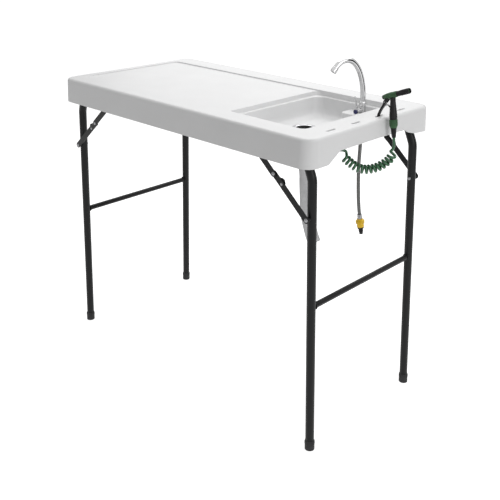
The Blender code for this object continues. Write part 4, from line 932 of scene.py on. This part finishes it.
class CAMPSINK_OT_tap(Operator):
    """Chromes the tap: flange, body, swivel spout, union nut, aerator, side lever and cap"""

    bl_idname = "campsink.tap"
    bl_label = "Tap"

    DECK = 0.955
    VALVE_Z = 0.9654
    SPOUT_BASE = 0.9955
    SPOUT_RISE = 0.132
    HALF_REACH = 0.066
    TIP_RADIUS = 0.048
    TIP_TURN = math.radians(53)
    TURN = math.radians(250)

    def execute(self, context):
        self.base()
        self.spout()
        self.valve()
        return {"FINISHED"}

    def at(self, z):
        return TAP_AXIS + Vector((0, 0, z))

    def base(self):
        flange = ring_turned([
            (0.0093, 0.0), (0.0165, 0.0), (0.0165, 0.0014), (0.0158, 0.0023), (0.0138, 0.0029),
            (0.0124, 0.0035), (0.0120, 0.0037), (0.0093, 0.0037), (0.0093, 0.0),
        ], 64)
        ease(place_at(flange, self.at(self.DECK + CLEAR), UP), 0.0002)
        settle(flange, "tap_flange_chromed", "table", "chrome", "tap_flange")
        height = 0.9790 - self.DECK
        post = ring_turned([
            (0.0088, -0.0360), (0.0090, -0.0357), (0.0090, 0.0043), (0.0100, 0.0043), (0.0104, 0.0048),
            (0.0104, 0.0062), (0.0100, 0.0070), (0.0098, 0.0100), (0.0098, height - 0.0030),
            (0.0101, height - 0.0018), (0.0100, height - 0.0006), (0.0092, height),
        ], 56)
        place_at(post, self.at(self.DECK), UP)
        boss = ring_turned([
            (0.0062, 0.0060), (0.0062, 0.0140), (0.0067, 0.0146), (0.0067, 0.0170), (0.0062, 0.0176),
            (0.0062, 0.0222), (0.0040, 0.0222), (0.0040, 0.0330), (0.0034, 0.0340),
        ], 40)
        place_at(boss, self.at(self.VALVE_Z), (0, -1, 0))
        turns = [self.at(self.DECK - 0.0185 - i * 0.0012) for i in range(14)]
        thread = [ring(turn, UP, 0.0090, 0.00045, 32, 6) for turn in turns]
        post = joined(ease(post, 0.0001), smooth(boss, 40), *thread)
        settle(post, "tap_body_chromed", "table", "chrome", "tap_body")

    def neck_point(self, reach, height):
        out = Vector((math.cos(self.TURN), math.sin(self.TURN), 0))
        return self.at(self.SPOUT_BASE + height) + out * reach

    def spout(self):
        """A quarter ellipse up to the top of the neck, then an arc down to the tip."""
        points = [self.neck_point(0, -0.004)]
        for i in range(11):
            angle = math.pi / 2 * i / 10
            points.append(
                self.neck_point(self.HALF_REACH * (1 - math.cos(angle)), self.SPOUT_RISE * math.sin(angle))
            )
        for i in range(1, 9):
            angle = self.TIP_TURN * i / 8
            reach = self.HALF_REACH + self.TIP_RADIUS * math.sin(angle)
            points.append(self.neck_point(reach, self.SPOUT_RISE - self.TIP_RADIUS * (1 - math.cos(angle))))
        line = smooth_line(points, 0.0022)
        way = (line[-1] - line[-2]).normalized()
        line.append(line[-1] + way * 0.002)
        neck = tube(line, lambda i: (0.0085, 0.0085, 0), 36)
        settle(neck, "spout_chromed", "spout", "chrome", "spout")
        nut = ring_turned([
            (0.0088, 0.0), (0.0104, 0.0), (0.0110, 0.0010), (0.0110, 0.0020), (0.0104, 0.0028),
            (0.0104, 0.0036), (0.0110, 0.0044), (0.0110, 0.0100), (0.0106, 0.0122), (0.0098, 0.0138),
            (0.0088, 0.0145), (0.0088, 0.0),
        ], 56)
        flute = [(0.0008, 0.0050), (0.0011, 0.0056), (0.0011, 0.0094), (0.0008, 0.0100)]
        cut_away(nut, in_circle(flute, 18, 0.0113))
        place_at(smooth(nut, 30), self.at(self.SPOUT_BASE - 0.0162), UP)
        settle(nut, "spout_nut_chromed", "spout", "chrome", "spout_nut")
        start = line[-1] + way * CLEAR
        head = ring_turned([
            (0.0088, 0.0), (0.0097, 0.0007), (0.0100, 0.0017), (0.0100, 0.0048), (0.0096, 0.0053),
            (0.0096, 0.0059), (0.0100, 0.0064), (0.0100, 0.0150), (0.0096, 0.0158), (0.0086, 0.0160),
            (0.0080, 0.0153), (0.0078, 0.0132), (0.0060, 0.0130), (0.0030, 0.0128),
        ], 48)
        ease(place_at(head, start, way), 0.0001)
        settle(head, "aerator_chromed", "spout", "chrome", "aerator")
        radii = (0.0018, 0.0034, 0.0050, 0.0066)
        screen = [ring(start + way * 0.0130, way, radius, 0.0003, 32, 6) for radius in radii]
        settle(joined(*screen), "aerator_screen", "spout", "bare_steel")

    def valve(self):
        hub = ring_turned([
            (0.0043, 0.0), (0.0064, 0.0), (0.0068, 0.0006), (0.0068, 0.0078), (0.0062, 0.0084),
            (0.0043, 0.0084), (0.0043, 0.0),
        ], 40)
        place_at(hub, TAP_AXIS + Vector((0, -0.0226, self.VALVE_Z)), (0, -1, 0))
        foot = TAP_AXIS + Vector((0, -0.0268, self.VALVE_Z + 0.0052))
        tip = foot + Vector((-0.003, -0.014, 0.0458))
        bow = Vector((0, 0.0008, 0))
        line = smooth_line([foot, foot.lerp(tip, 0.35) + bow, foot.lerp(tip, 0.7), tip], 0.0012)
        count = len(line) - 1

        def section(i):
            share = i / count
            wide = 0.0022 + 0.0014 * math.sin(math.pi * min(1.0, share * 0.95)) + 0.0006 * share
            thin = 0.0021 - 0.0006 * share
            tip_round = max(0.0, (share - 0.9) / 0.1)
            narrow = max(0.25, math.sqrt(max(0.0, 1 - tip_round ** 2)))
            return thin * narrow, wide * narrow, math.pi / 2

        blade = tube(line, section, 24)
        lever = joined(ease(hub, 0.0002), blade)
        settle(lever, "tap_lever_chromed", "lever", "chrome", "tap_lever")
        cap = ring_turned([
            (0.0068, 0.0), (0.0070, 0.0004), (0.0070, 0.0030), (0.0067, 0.0042), (0.0058, 0.0052),
            (0.0042, 0.0058), (0.0020, 0.0060),
        ], 40)
        place_at(smooth(cap, 50), TAP_AXIS + Vector((0, -0.0343, self.VALVE_Z)), (0, -1, 0))
        settle(cap, "tap_cap_finished", "lever", "blue_plastic", "tap_cap")


# The drain

class CAMPSINK_OT_drain(Operator):
    """Presses the strainer and moulds the gasket, the nut and the tailpiece under it"""

    bl_idname = "campsink.drain"
    bl_label = "Drain"

    FLOOR = 0.915

    def execute(self, context):
        top = DRAIN_AXIS + Vector((0, 0, self.FLOOR + CLEAR))
        strainer = ring_turned([
            (0.0248, -0.0460), (0.0248, -0.0002), (0.0420, 0.0), (0.0420, 0.0006), (0.0412, 0.0015),
            (0.0380, 0.0021), (0.0330, 0.0022), (0.0290, 0.0019), (0.0262, 0.0006), (0.0246, -0.0026),
            (0.0222, -0.0052), (0.0204, -0.0086), (0.0200, -0.0130), (0.0200, -0.0460), (0.0248, -0.0460),
        ], 72)
        smooth(place_at(strainer, top, UP), 50)
        settle(strainer, "strainer_finished", "table", "bare_steel", "drain_strainer")
        # The basket is black as painted shade: it stands in for the dark down the drain hole.
        settle(self.basket(top), "strainer_basket", "table", "black_plastic")
        # A black lining over the strainer's steel inner wall: painted shade down the drain hole.
        sleeve = ring_turned([
            (0.0192, -0.0450), (0.0192, -0.0130), (0.0197, -0.0090), (0.0214, -0.0054), (0.0238, -0.0026),
            (0.0255, 0.0006), (0.0265, 0.0014), (0.0262, 0.0020), (0.0252, 0.0016), (0.0232, -0.0022),
            (0.0208, -0.0050), (0.0190, -0.0090), (0.0186, -0.0130), (0.0186, -0.0440),
        ], 56)
        settle(place_at(smooth(sleeve, 40), top, UP), "strainer_shade_lining", "table", "black_plastic")
        refine("drain_gasket", "black_rubber", 0.0006)
        self.nut()
        tail = ring_turned([
            (0.0120, -0.0300), (0.0140, -0.0300), (0.0145, -0.0296), (0.0145, -0.0268), (0.0140, -0.0262),
            (0.0140, -0.0240), (0.0145, -0.0234), (0.0145, -0.0080), (0.0156, -0.0066), (0.0248, -0.0046),
            (0.0248, 0.0), (0.0120, 0.0), (0.0120, -0.0300),
        ], 48)
        ease(place_at(tail, top - Vector((0, 0, 0.0463)), UP), 0.0002)
        settle(tail, "tailpiece_finished", "table", "white_nut", "drain_tailpiece")
        return {"FINISHED"}

    def basket(self, top):
        """The sunk grid of the strainer: a dished plate with rings of holes and a pull knob. Its black finish
        is painted shade for the dark down the drain hole.
        """
        plate = ring_turned([
            (0.0197, -0.0250), (0.0197, -0.0242), (0.0150, -0.0268), (0.0080, -0.0276), (0.0034, -0.0277),
            (0.0034, -0.0285), (0.0080, -0.0284), (0.0150, -0.0276), (0.0197, -0.0250),
        ], 56)
        hole = [(0.0017, -0.034), (0.0017, -0.020)]
        rows = ((8, 0.0075, 0.0), (14, 0.0120, 0.5), (20, 0.0163, 0.0))
        cut_away(plate, joined(*[in_circle(hole, count, radius, 10, shift) for count, radius, shift in rows]))
        knob = ring_turned([
            (0.0034, -0.0290), (0.0034, -0.0240), (0.0022, -0.0232), (0.0020, -0.0200), (0.0030, -0.0186),
            (0.0046, -0.0180), (0.0050, -0.0170), (0.0044, -0.0158), (0.0024, -0.0150),
        ], 32)
        return place_at(smooth(joined(plate, knob), 40), top, UP)

    def nut(self):
        """The big plastic nut with its grip lugs."""
        top = DRAIN_AXIS + Vector((0, 0, 0.9064))
        nut = ring_turned([
            (0.0252, -0.0200), (0.0335, -0.0200), (0.0345, -0.0190), (0.0345, -0.0040), (0.0360, -0.0030),
            (0.0360, -0.0004), (0.0356, 0.0), (0.0252, 0.0), (0.0252, -0.0200),
        ], 64)
        lugs = in_circle([(0.0012, -0.0196), (0.0020, -0.0188), (0.0020, -0.0036)], 8, 0.0342, 12)
        nut = joined(ease(nut, 0.0003), smooth(lugs, 40))
        settle(place_at(nut, top, UP), "drain_nut_finished", "table", "white_nut", "drain_nut")


class CAMPSINK_OT_drain_hose(Operator):
    """Hangs the soft drain hose from the tailpiece, flattened below its bend"""

    bl_idname = "campsink.drain_hose"
    bl_label = "Drain hose"

    WIDTH = 0.044
    ROUND = 0.0178
    LEAN = Vector((0.766, 0.642, 0))

    def execute(self, context):
        drift = (
            (0, 0), (0, 0.020), (0, 0.041), (0.008, 0.080), (0.013, 0.150), (0.016, 0.195), (0.022, 0.235),
            (0.034, 0.283), (0.044, 0.312),
        )
        start = DRAIN_AXIS + Vector((0, 0, 0.8384))
        route = [start + self.LEAN * out + DOWN * down for out, down in drift]
        line = smooth_line(route, 0.0030)
        count = len(line) - 1
        length = walked_along(line)[-1]

        def section(i):
            far = length * i / count
            flat = smoothstep((far - 0.030) / 0.090)
            kink = math.exp(-(((far - 0.205) / 0.022) ** 2))
            folds = 0.0006 * math.sin(far * 330) * flat + 0.0005 * math.sin(far * 140 + 1)
            wide = self.ROUND + (self.WIDTH / 2 - self.ROUND) * flat + 0.0020 * kink
            thin = self.ROUND - 0.0085 * flat - 0.0030 * kink + folds
            return wide, thin, turn

        turn = self.width_turn(line)
        hose = tube(line, section, 40, 0.0011)
        settle(hose, "drain_hose_soft", "table", "white_hose", "drain_hose")
        [tuple(p) for p in line]
        band = []
        for height in (0.0060, 0.0100):
            band.append(ring(start - Vector((0, 0, height)), UP, 0.0181, 0.0011, 48, 8))
        lug = ring_turned([(0.0020, -0.0010), (0.0026, 0.0), (0.0026, 0.0060), (0.0020, 0.0070)], 16)
        place_at(lug, start + Vector((0.0150, 0.0150, -0.0110)), UP)
        settle(smooth(joined(*band, lug), 45), "hose_clip", "table", "bare_steel")
        return {"FINISHED"}

    def width_turn(self, line):
        """The turn that lays the section's wide way along the hose's lean."""
        _, side, up = frames_along(line)[len(line) // 2]
        return math.atan2(self.LEAN.dot(up), self.LEAN.dot(side))


# The supply hose and the fittings under the tap

class CAMPSINK_OT_supply(Operator):
    """Makes the wing nut, the tee, the braided hose and its quick coupling"""

    bl_idname = "campsink.supply"
    bl_label = "Supply hose"

    HOSE = 0.006
    FERRULE = 0.016
    COUPLING = 0.031

    def execute(self, context):
        self.wing_nut()
        self.tee()
        start = TAP_AXIS + Vector((0, 0, 0.8801))
        offsets = (
            (0, 0, 0), (0, 0, -0.012), (0.0015, -0.002, -0.040), (0.002, -0.004, -0.100),
            (0.002, 0.0, -0.160), (0.002, 0.005, -0.210), (0.003, 0.010, -0.248), (0.004, 0.014, -0.272),
        )
        line = smooth_line([start + Vector(o) for o in offsets], 0.004)
        hose = tube(line, lambda i: (self.HOSE, self.HOSE, 0), 28)
        settle(hose, "supply_hose_braided", "table", "braid", "supply_hose")
        way = (line[-1] - line[-2]).normalized()
        self.ferrule(TAP_AXIS + Vector((0, 0, 0.8964)), DOWN, "supply_ferrule_top")
        end = self.ferrule(line[-1] + way * CLEAR, way, "supply_ferrule_end", "rivet_steel")
        place = line[-1] + way * (CLEAR + self.FERRULE + CLEAR)
        coupling = self.coupling(place, way)
        nipple = self.nipple(place + way * (self.COUPLING + CLEAR), way)
        [tuple(p) for p in line]
        return {"FINISHED"}

    def wing_nut(self):
        nut = ring_turned([
            (0.0093, 0.0), (0.0115, 0.0), (0.0128, 0.0010), (0.0150, 0.0070), (0.0164, 0.0090),
            (0.0165, 0.0112), (0.0158, 0.0120), (0.0093, 0.0120), (0.0093, 0.0),
        ], 48)
        ease(place_at(nut, TAP_AXIS + Vector((0, 0, 0.9367)), UP), 0.0002)
        both = joined(nut, cad_copy("wing_nut", 0.0009, 3))
        settle(both, "wing_nut_finished", "table", "yellow_plastic", "wing_nut")

    def tee(self):
        tee = cad_copy("supply_tee", 0.0006, 2)
        collars = []
        for height in (0.8985, 0.9020, 0.9140, 0.9170):
            collars.append(ring(TAP_AXIS + Vector((0, 0, height)), UP, 0.0108, 0.0007))
        for reach in (0.0130, 0.0170, 0.0210):
            collars.append(ring(TAP_AXIS + Vector((reach, 0, 0.9077)), (1, 0, 0), 0.0064, 0.0008))
        settle(joined(tee, *collars), "supply_tee_finished", "table", "black_plastic", "supply_tee")

    def ferrule(self, place, way, node, finish="bare_steel"):
        """A crimped sleeve with its pressed waists."""
        sleeve = ring_turned([
            (0.0062, 0.0), (0.0076, 0.0), (0.0080, 0.0005), (0.0080, 0.0036), (0.0075, 0.0042),
            (0.0075, 0.0058), (0.0080, 0.0064), (0.0080, 0.0090), (0.0075, 0.0096), (0.0075, 0.0112),
            (0.0080, 0.0118), (0.0080, 0.0154), (0.0076, 0.0160), (0.0062, 0.0160),
        ], 40)
        smooth(place_at(sleeve, place, way), 30)
        return settle(sleeve, node + "_crimped", "table", finish, node)

    def coupling(self, place, way):
        """The yellow quick coupling: a knurled grip ring between two shoulders."""
        body = ring_turned([
            (0.0068, 0.0), (0.0093, 0.0), (0.0096, 0.0006), (0.0099, 0.0056), (0.0142, 0.0076),
            (0.0150, 0.0086), (0.0150, 0.0164), (0.0144, 0.0174), (0.0123, 0.0190), (0.0123, 0.0250),
            (0.0118, 0.0256), (0.0118, 0.0268), (0.0123, 0.0274), (0.0123, 0.0304), (0.0118, 0.0310),
            (0.0070, 0.0310),
        ], 56)
        grip = [(0.0007, 0.0082), (0.0012, 0.0090), (0.0012, 0.0162), (0.0007, 0.0170)]
        cut_away(body, in_circle(grip, 20, 0.0153))
        smooth(place_at(body, place, way), 28)
        return settle(body, "coupling_finished", "table", "yellow_plastic", "hose_coupling")

    def nipple(self, place, way):
        """The black plug end with its barbs."""
        plug = ring_turned([
            (0.0060, 0.0), (0.0108, 0.0), (0.0110, 0.0004), (0.0110, 0.0056), (0.0106, 0.0060),
            (0.0078, 0.0062), (0.0078, 0.0100), (0.0070, 0.0108), (0.0070, 0.0128), (0.0080, 0.0136),
            (0.0080, 0.0180), (0.0074, 0.0188), (0.0066, 0.0196), (0.0066, 0.0262), (0.0062, 0.0270),
            (0.0046, 0.0270), (0.0044, 0.0180),
        ], 48)
        smooth(place_at(plug, place, way), 30)
        return settle(plug, "nipple_finished", "table", "black_plastic", "hose_nipple")


# The spray gun

class CAMPSINK_OT_spray_gun(Operator):
    """Moulds the spray gun: head, nozzle, grip, collar, tail and trigger"""

    bl_idname = "campsink.spray_gun"
    bl_label = "Spray gun"

    PIVOT = Vector((0.53625, GUN_Y, 1.0375))
    STEM = Vector((0.5475, GUN_Y, 1.0285))
    STEM_WAY = Vector((0.80, 0, -0.60))
    RISE = math.radians(21)
    COLLAR = 0.0245

    def execute(self, context):
        ahead = Vector((math.cos(self.RISE), 0, math.sin(self.RISE)))
        top = GRIP_END - DOWN_GRIP * 0.059
        middle = Vector((top.x - 0.002, GUN_Y, 1.061))
        self.head(middle, ahead)
        self.nozzle(middle + ahead * 0.0173, ahead)
        self.knob(middle, ahead)
        self.grip(top - DOWN_GRIP * 0.005)
        self.collar(GRIP_END + DOWN_GRIP * CLEAR)
        self.tail(GRIP_END + DOWN_GRIP * (self.COLLAR + 2 * CLEAR))
        self.trigger()
        return {"FINISHED"}

    def head(self, middle, ahead):
        """The green body with its raised bands and fins, and the heads of the trigger's pin."""
        steps = (
            (-0.0264, 0.0050), (-0.0260, 0.0072), (-0.0230, 0.0081), (-0.0180, 0.0087), (-0.0120, 0.0092),
            (-0.0060, 0.0094), (0.0, 0.0094), (0.0060, 0.0090), (0.0090, 0.0086), (0.0094, 0.0092),
            (0.0110, 0.0092), (0.0114, 0.0084), (0.0130, 0.0082), (0.0134, 0.0088), (0.0150, 0.0088),
            (0.0154, 0.0081), (0.0170, 0.0079),
        )
        profile = [(r, t) for t, r in steps]
        body = smooth(place_at(ring_turned(profile, 40), middle, ahead), 35)
        fins = []
        for k in range(5):
            centre = middle - ahead * (0.004 + 0.0034 * k)
            fins.append(ring(centre, ahead, 0.0090 - 0.0002 * k, 0.0006, 36, 8))
        whole = joined(body, cad_copy("gun_head", 0.0006, 2), *fins)
        settle(whole, "gun_head_finished", "gun", "green_plastic", "gun_head")
        heads = []
        for side in SIDES.values():
            way = Vector((0, side, 0))
            heads.append(dome_head(self.PIVOT + way * 0.0071, way, 0.0019, 0.0008, 16))
        settle(joined(*heads), "trigger_pin_heads", "gun", "rivet_steel")

    def knob(self, middle, ahead):
        """The black knob behind the head, the valve's stem and the plates beside the trigger."""
        turn = ring_turned([
            (0.0040, 0.0), (0.0058, 0.0004), (0.0068, 0.0016), (0.0070, 0.0030), (0.0066, 0.0040),
            (0.0066, 0.0060), (0.0058, 0.0070), (0.0054, 0.0080),
        ], 36)
        place_at(smooth(turn, 35), middle - ahead * 0.0342, ahead)
        stem = ring_turned(
            [(0.0018, 0.0), (0.0021, 0.0004), (0.0021, 0.0130), (0.0032, 0.0134), (0.0032, 0.0160)], 20
        )
        place_at(smooth(stem, 35), self.STEM, self.STEM_WAY)
        ears = [self.ear(side) for side in SIDES.values()]
        settle(joined(turn, stem, *ears), "gun_knob", "gun", "black_plastic")

    def ear(self, side):
        """A plate beside the trigger that carries its pin."""
        deselect()
        bpy.ops.mesh.primitive_circle_add(vertices=40, radius=0.0045, fill_type="NGON", location=(0, 0, 0))
        plate = bpy.context.object
        reach = Vector((0.008, 0, 0.012))
        for vertex in plate.data.vertices:
            if vertex.co.x > 0:
                vertex.co.x += reach.length
        add_modifier(plate, "SOLIDIFY", thickness=0.0022, offset=0)
        along = reach.normalized()
        across = Vector((0, 1, 0))
        turn = Matrix((along, across.cross(along), across)).transposed().to_4x4()
        plate.data.transform(Matrix.Translation(self.PIVOT + Vector((0, 0.0060 * side, 0))) @ turn)
        return ease(plate, 0.0004)

    def nozzle(self, start, ahead):
        barrel = ring_turned([
            (0.0080, 0.0), (0.0079, 0.0118), (0.0082, 0.0128), (0.0085, 0.0138), (0.0085, 0.0400),
            (0.0081, 0.0416), (0.0074, 0.0430), (0.0060, 0.0430), (0.0054, 0.0418), (0.0050, 0.0380),
        ], 48)
        flute = [(0.0006, 0.0160), (0.0010, 0.0172), (0.0010, 0.0372), (0.0006, 0.0384)]
        cut_away(barrel, in_circle(flute, 16, 0.0088))
        smooth(place_at(barrel, start, ahead), 28)
        settle(barrel, "gun_nozzle_finished", "gun", "black_plastic", "gun_nozzle")
        face = ring_turned([(0.0050, 0.0378), (0.0050, 0.0384), (0.0034, 0.0392), (0.0012, 0.0394)], 32)
        cut_away(face, in_circle([(0.0004, 0.0370), (0.0004, 0.0410)], 6, 0.0024))
        settle(place_at(smooth(face, 35), start, ahead), "nozzle_face", "gun", "green_plastic")

    def grip(self, top):
        """The black handle, swelling to the hand, with finger ribs on its front."""
        length = (GRIP_END - top).length
        steps = 40
        line = [top.lerp(GRIP_END, i / steps) for i in range(steps + 1)]

        def section(i):
            t = i / steps
            swell = 0.0078 + 0.0031 * smoothstep((t - 0.15) / 0.75)
            ribs = 0.00035 * max(0.0, math.sin(t * length * 1150)) if 0.25 < t < 0.9 else 0.0
            if t > 0.96:
                swell -= 0.0008 * (t - 0.96) / 0.04
            return swell + ribs, swell * 1.06 + ribs, 0

        handle = tube(line, section, 36)
        settle(handle, "gun_grip_finished", "gun", "black_plastic", "gun_grip")

    def collar(self, start):
        ring_nut = ring_turned([
            (0.0104, 0.0), (0.0115, 0.0), (0.0123, 0.0012), (0.0123, 0.0170), (0.0118, 0.0190),
            (0.0104, 0.0225), (0.0098, self.COLLAR), (0.0070, self.COLLAR),
        ], 56)
        flute = [(0.0007, 0.0018), (0.0012, 0.0028), (0.0012, 0.0166), (0.0007, 0.0180)]
        cut_away(ring_nut, in_circle(flute, 14, 0.0127))
        smooth(place_at(ring_nut, start, DOWN_GRIP), 28)
        settle(ring_nut, "gun_collar_finished", "gun", "green_plastic", "gun_collar")

    def tail(self, start):
        """The ribbed sleeve that keeps the hose from kinking."""
        profile = [(0.0078, 0.0), (0.0086, 0.0004)]
        for k in range(6):
            z = 0.0032 + 0.0041 * k
            r = 0.0086 - 0.00036 * k
            profile += [(r, z), (r - 0.0009, z + 0.0005), (r - 0.0009, z + 0.0013), (r - 0.0003, z + 0.0018)]
        profile += [(0.0063, 0.0278), (0.0059, 0.0285), (0.0038, 0.0285)]
        sleeve = ring_turned(profile, 40)
        smooth(place_at(sleeve, start, DOWN_GRIP), 30)
        settle(sleeve, "gun_tail_finished", "gun", "black_plastic", "gun_tail")

    def trigger(self):
        lever = cad_copy("gun_trigger", 0.0011, 3)
        settle(lever, "gun_trigger_finished", "trigger", "black_plastic", "gun_trigger")


class CAMPSINK_OT_curly_hose(Operator):
    """Winds the curly hose from the tee to the spray gun"""

    bl_idname = "campsink.curly_hose"
    bl_label = "Curly hose"

    def execute(self, context):
        line = curly_line(context.scene.gun_looks.points_per_curl)
        hose = tube(line, lambda i: (CURLY_SKIN, CURLY_SKIN, 0), 14)
        settle(hose, "curly_hose_finished", "table", "green_hose", "curly_hose")
        tuple(line[0])
        [tuple(p) for p in line]
        return {"FINISHED"}


# The stage

class CAMPSINK_OT_stage(Operator):
    """Sets the pale floor, the soft lamps and the camera"""

    bl_idname = "campsink.stage"
    bl_label = "Stage"

    def execute(self, context):
        looks = context.scene.stage_looks
        self.floor(looks)
        self.sky(looks)
        self.lamp("overhead", (-0.5, 1.2, 3.2), (0, 0, 0.9), 3.0, looks.key)
        self.lamp("sink_end", (3.2, -0.2, 1.9), (0.3, 0, 0.7), 2.0, looks.side)
        self.flag("left_flag", (-3.7, 0.75, 1.2), 2.4)
        self.flag("right_flag", (-0.5, 4.1, 1.2), 1.8)
        self.flag("sink_end_flag", (3.7, 1.5, 1.2), 2.4)
        self.flag("user_flag", (-1.4, -3.9, 1.2), 2.0)
        self.camera(context)
        context.scene.view_settings.view_transform = "Standard"
        return {"FINISHED"}

    def seen(self, tree):
        """1 for camera, mirror and glass rays, 0 for all others."""
        path = tree.nodes.new("ShaderNodeLightPath")
        total = path.outputs["Is Camera Ray"]
        for other in ("Is Glossy Ray", "Is Transmission Ray"):
            total = calculated(tree, "MAXIMUM", total, path.outputs[other])
        return total

    def floor(self, looks):
        deselect()
        bpy.ops.mesh.primitive_circle_add(vertices=96, radius=60, fill_type="NGON", location=(0, 0, 0))
        floor = bpy.context.object
        floor.name = "floor"
        material = bpy.data.materials.new("studio_floor")
        material.use_nodes = True
        tree = material.node_tree
        plain = tree.nodes["Principled BSDF"]
        plain.inputs["Base Color"].default_value = (0.80, 0.80, 0.80, 1)
        plain.inputs["Roughness"].default_value = 0.9
        plain.inputs["Specular IOR Level"].default_value = 0.1
        lift = tree.nodes.new("ShaderNodeEmission")
        lift.inputs["Strength"].default_value = looks.floor_lift
        both = tree.nodes.new("ShaderNodeAddShader")
        tree.links.new(plain.outputs["BSDF"], both.inputs[0])
        tree.links.new(lift.outputs["Emission"], both.inputs[1])
        mix = tree.nodes.new("ShaderNodeMixShader")
        tree.links.new(self.seen(tree), mix.inputs["Fac"])
        tree.links.new(plain.outputs["BSDF"], mix.inputs[1])
        tree.links.new(both.outputs["Shader"], mix.inputs[2])
        tree.links.new(mix.outputs["Shader"], tree.nodes["Material Output"].inputs["Surface"])
        floor.data.materials.append(material)

    def sky(self, looks):
        world = bpy.data.worlds.new("studio")
        bpy.context.scene.world = world
        world.use_nodes = True
        tree = world.node_tree
        light = tree.nodes["Background"]
        light.inputs["Color"].default_value = (1.0, 1.0, 1.0, 1)
        light.inputs["Strength"].default_value = looks.ambient
        white = tree.nodes.new("ShaderNodeBackground")
        white.inputs["Color"].default_value = (1, 1, 1, 1)
        white.inputs["Strength"].default_value = 1.0
        mix = tree.nodes.new("ShaderNodeMixShader")
        tree.links.new(self.seen(tree), mix.inputs["Fac"])
        tree.links.new(light.outputs["Background"], mix.inputs[1])
        tree.links.new(white.outputs["Background"], mix.inputs[2])
        tree.links.new(mix.outputs["Shader"], tree.nodes["World Output"].inputs["Surface"])

    def lamp(self, name, place, target, size, power):
        deselect()
        bpy.ops.object.light_add(type="AREA", location=place)
        lamp = bpy.context.object
        lamp.name = name
        lamp.data.shape = "DISK"
        lamp.data.size = size
        lamp.data.energy = power
        lamp.rotation_euler = (Vector(target) - Vector(place)).to_track_quat("-Z", "Y").to_euler()

    def flag(self, name, place, wide):
        """A tall black card beside the set, which only polished metal shows."""
        deselect()
        bpy.ops.mesh.primitive_plane_add(size=1, location=(0, 0, 0))
        card = bpy.context.object
        card.name = name
        card.data.transform(Matrix.Diagonal((wide, 3.6, 1, 1)))
        toward = Vector((-place[0], -place[1], 0)).to_track_quat("Z", "Y").to_matrix().to_4x4()
        card.data.transform(Matrix.Translation(place) @ toward)
        material = bpy.data.materials.new(name)
        material.use_nodes = True
        shader = material.node_tree.nodes["Principled BSDF"]
        shader.inputs["Base Color"].default_value = (0.01, 0.01, 0.01, 1)
        shader.inputs["Roughness"].default_value = 1.0
        shader.inputs["Specular IOR Level"].default_value = 0.0
        card.data.materials.append(material)
        card.visible_camera = False
        card.visible_diffuse = False
        card.visible_shadow = False

    def camera(self, context):
        """The photograph's own viewpoint."""
        deselect()
        bpy.ops.object.camera_add(location=(0, 0, 0))
        camera = bpy.context.object
        right = Vector((0.72358752, 0.69016285, 0.00981536))
        up = Vector((-0.26070228, 0.26010583, 0.92972))
        forward = Vector((-0.63910517, 0.67529268, -0.36813636))
        turn = Matrix((right, up, -forward)).transposed().to_4x4()
        camera.matrix_world = Matrix.Translation((1.77183, -1.78284, 1.54478)) @ turn
        camera.data.sensor_width = 36
        camera.data.lens = 55.035
        camera.data.shift_x = -0.01588
        camera.data.shift_y = -0.06982
        context.scene.camera = camera


class CAMPSINK_OT_finishes(Operator):
    """Makes the finishes from the chosen colours"""

    bl_idname = "campsink.finishes"
    bl_label = "Finishes"

    def execute(self, context):
        make_finishes(context.scene)
        return {"FINISHED"}


STEPS = (
    CAMPSINK_OT_finishes,
    CAMPSINK_OT_stage,
    CAMPSINK_OT_curly_hose,
    CAMPSINK_OT_drain_hose,
    CAMPSINK_OT_supply,
    CAMPSINK_OT_table_top,
    CAMPSINK_OT_leg_frames,
    CAMPSINK_OT_stays,
    CAMPSINK_OT_tap,
    CAMPSINK_OT_drain,
    CAMPSINK_OT_spray_gun,
)

LOOKS = {
    "top_looks": TopLooks,
    "leg_looks": LegLooks,
    "water_looks": WaterLooks,
    "gun_looks": GunLooks,
    "stage_looks": StageLooks,
}


class CAMPSINK_PT_panel(Panel):
    """Sizes, colours and steps of the camp sink station"""

    bl_idname = "CAMPSINK_PT_panel"
    bl_label = "Camp Sink Station"
    bl_space_type = "VIEW_3D"
    bl_region_type = "UI"
    bl_category = "Camp Sink"

    def draw(self, context):
        for name, group in LOOKS.items():
            box = self.layout.box()
            box.label(text=group.__doc__)
            for prop in group.__annotations__:
                box.prop(getattr(context.scene, name), prop)
        for step in STEPS:
            self.layout.operator(step.bl_idname)


def register():
    for cls in (*LOOKS.values(), *STEPS, CAMPSINK_PT_panel):
        bpy.utils.register_class(cls)
    for name, group in LOOKS.items():
        setattr(bpy.types.Scene, name, PointerProperty(type=group))


def unregister():
    for name in LOOKS:
        delattr(bpy.types.Scene, name)
    for cls in (CAMPSINK_PT_panel, *reversed(STEPS), *reversed(list(LOOKS.values()))):
        bpy.utils.unregister_class(cls)


def main():
    register()
    for step in STEPS:
        group, name = step.bl_idname.split(".")
        getattr(getattr(bpy.ops, group), name)()


if __name__ == "__main__":
    main()
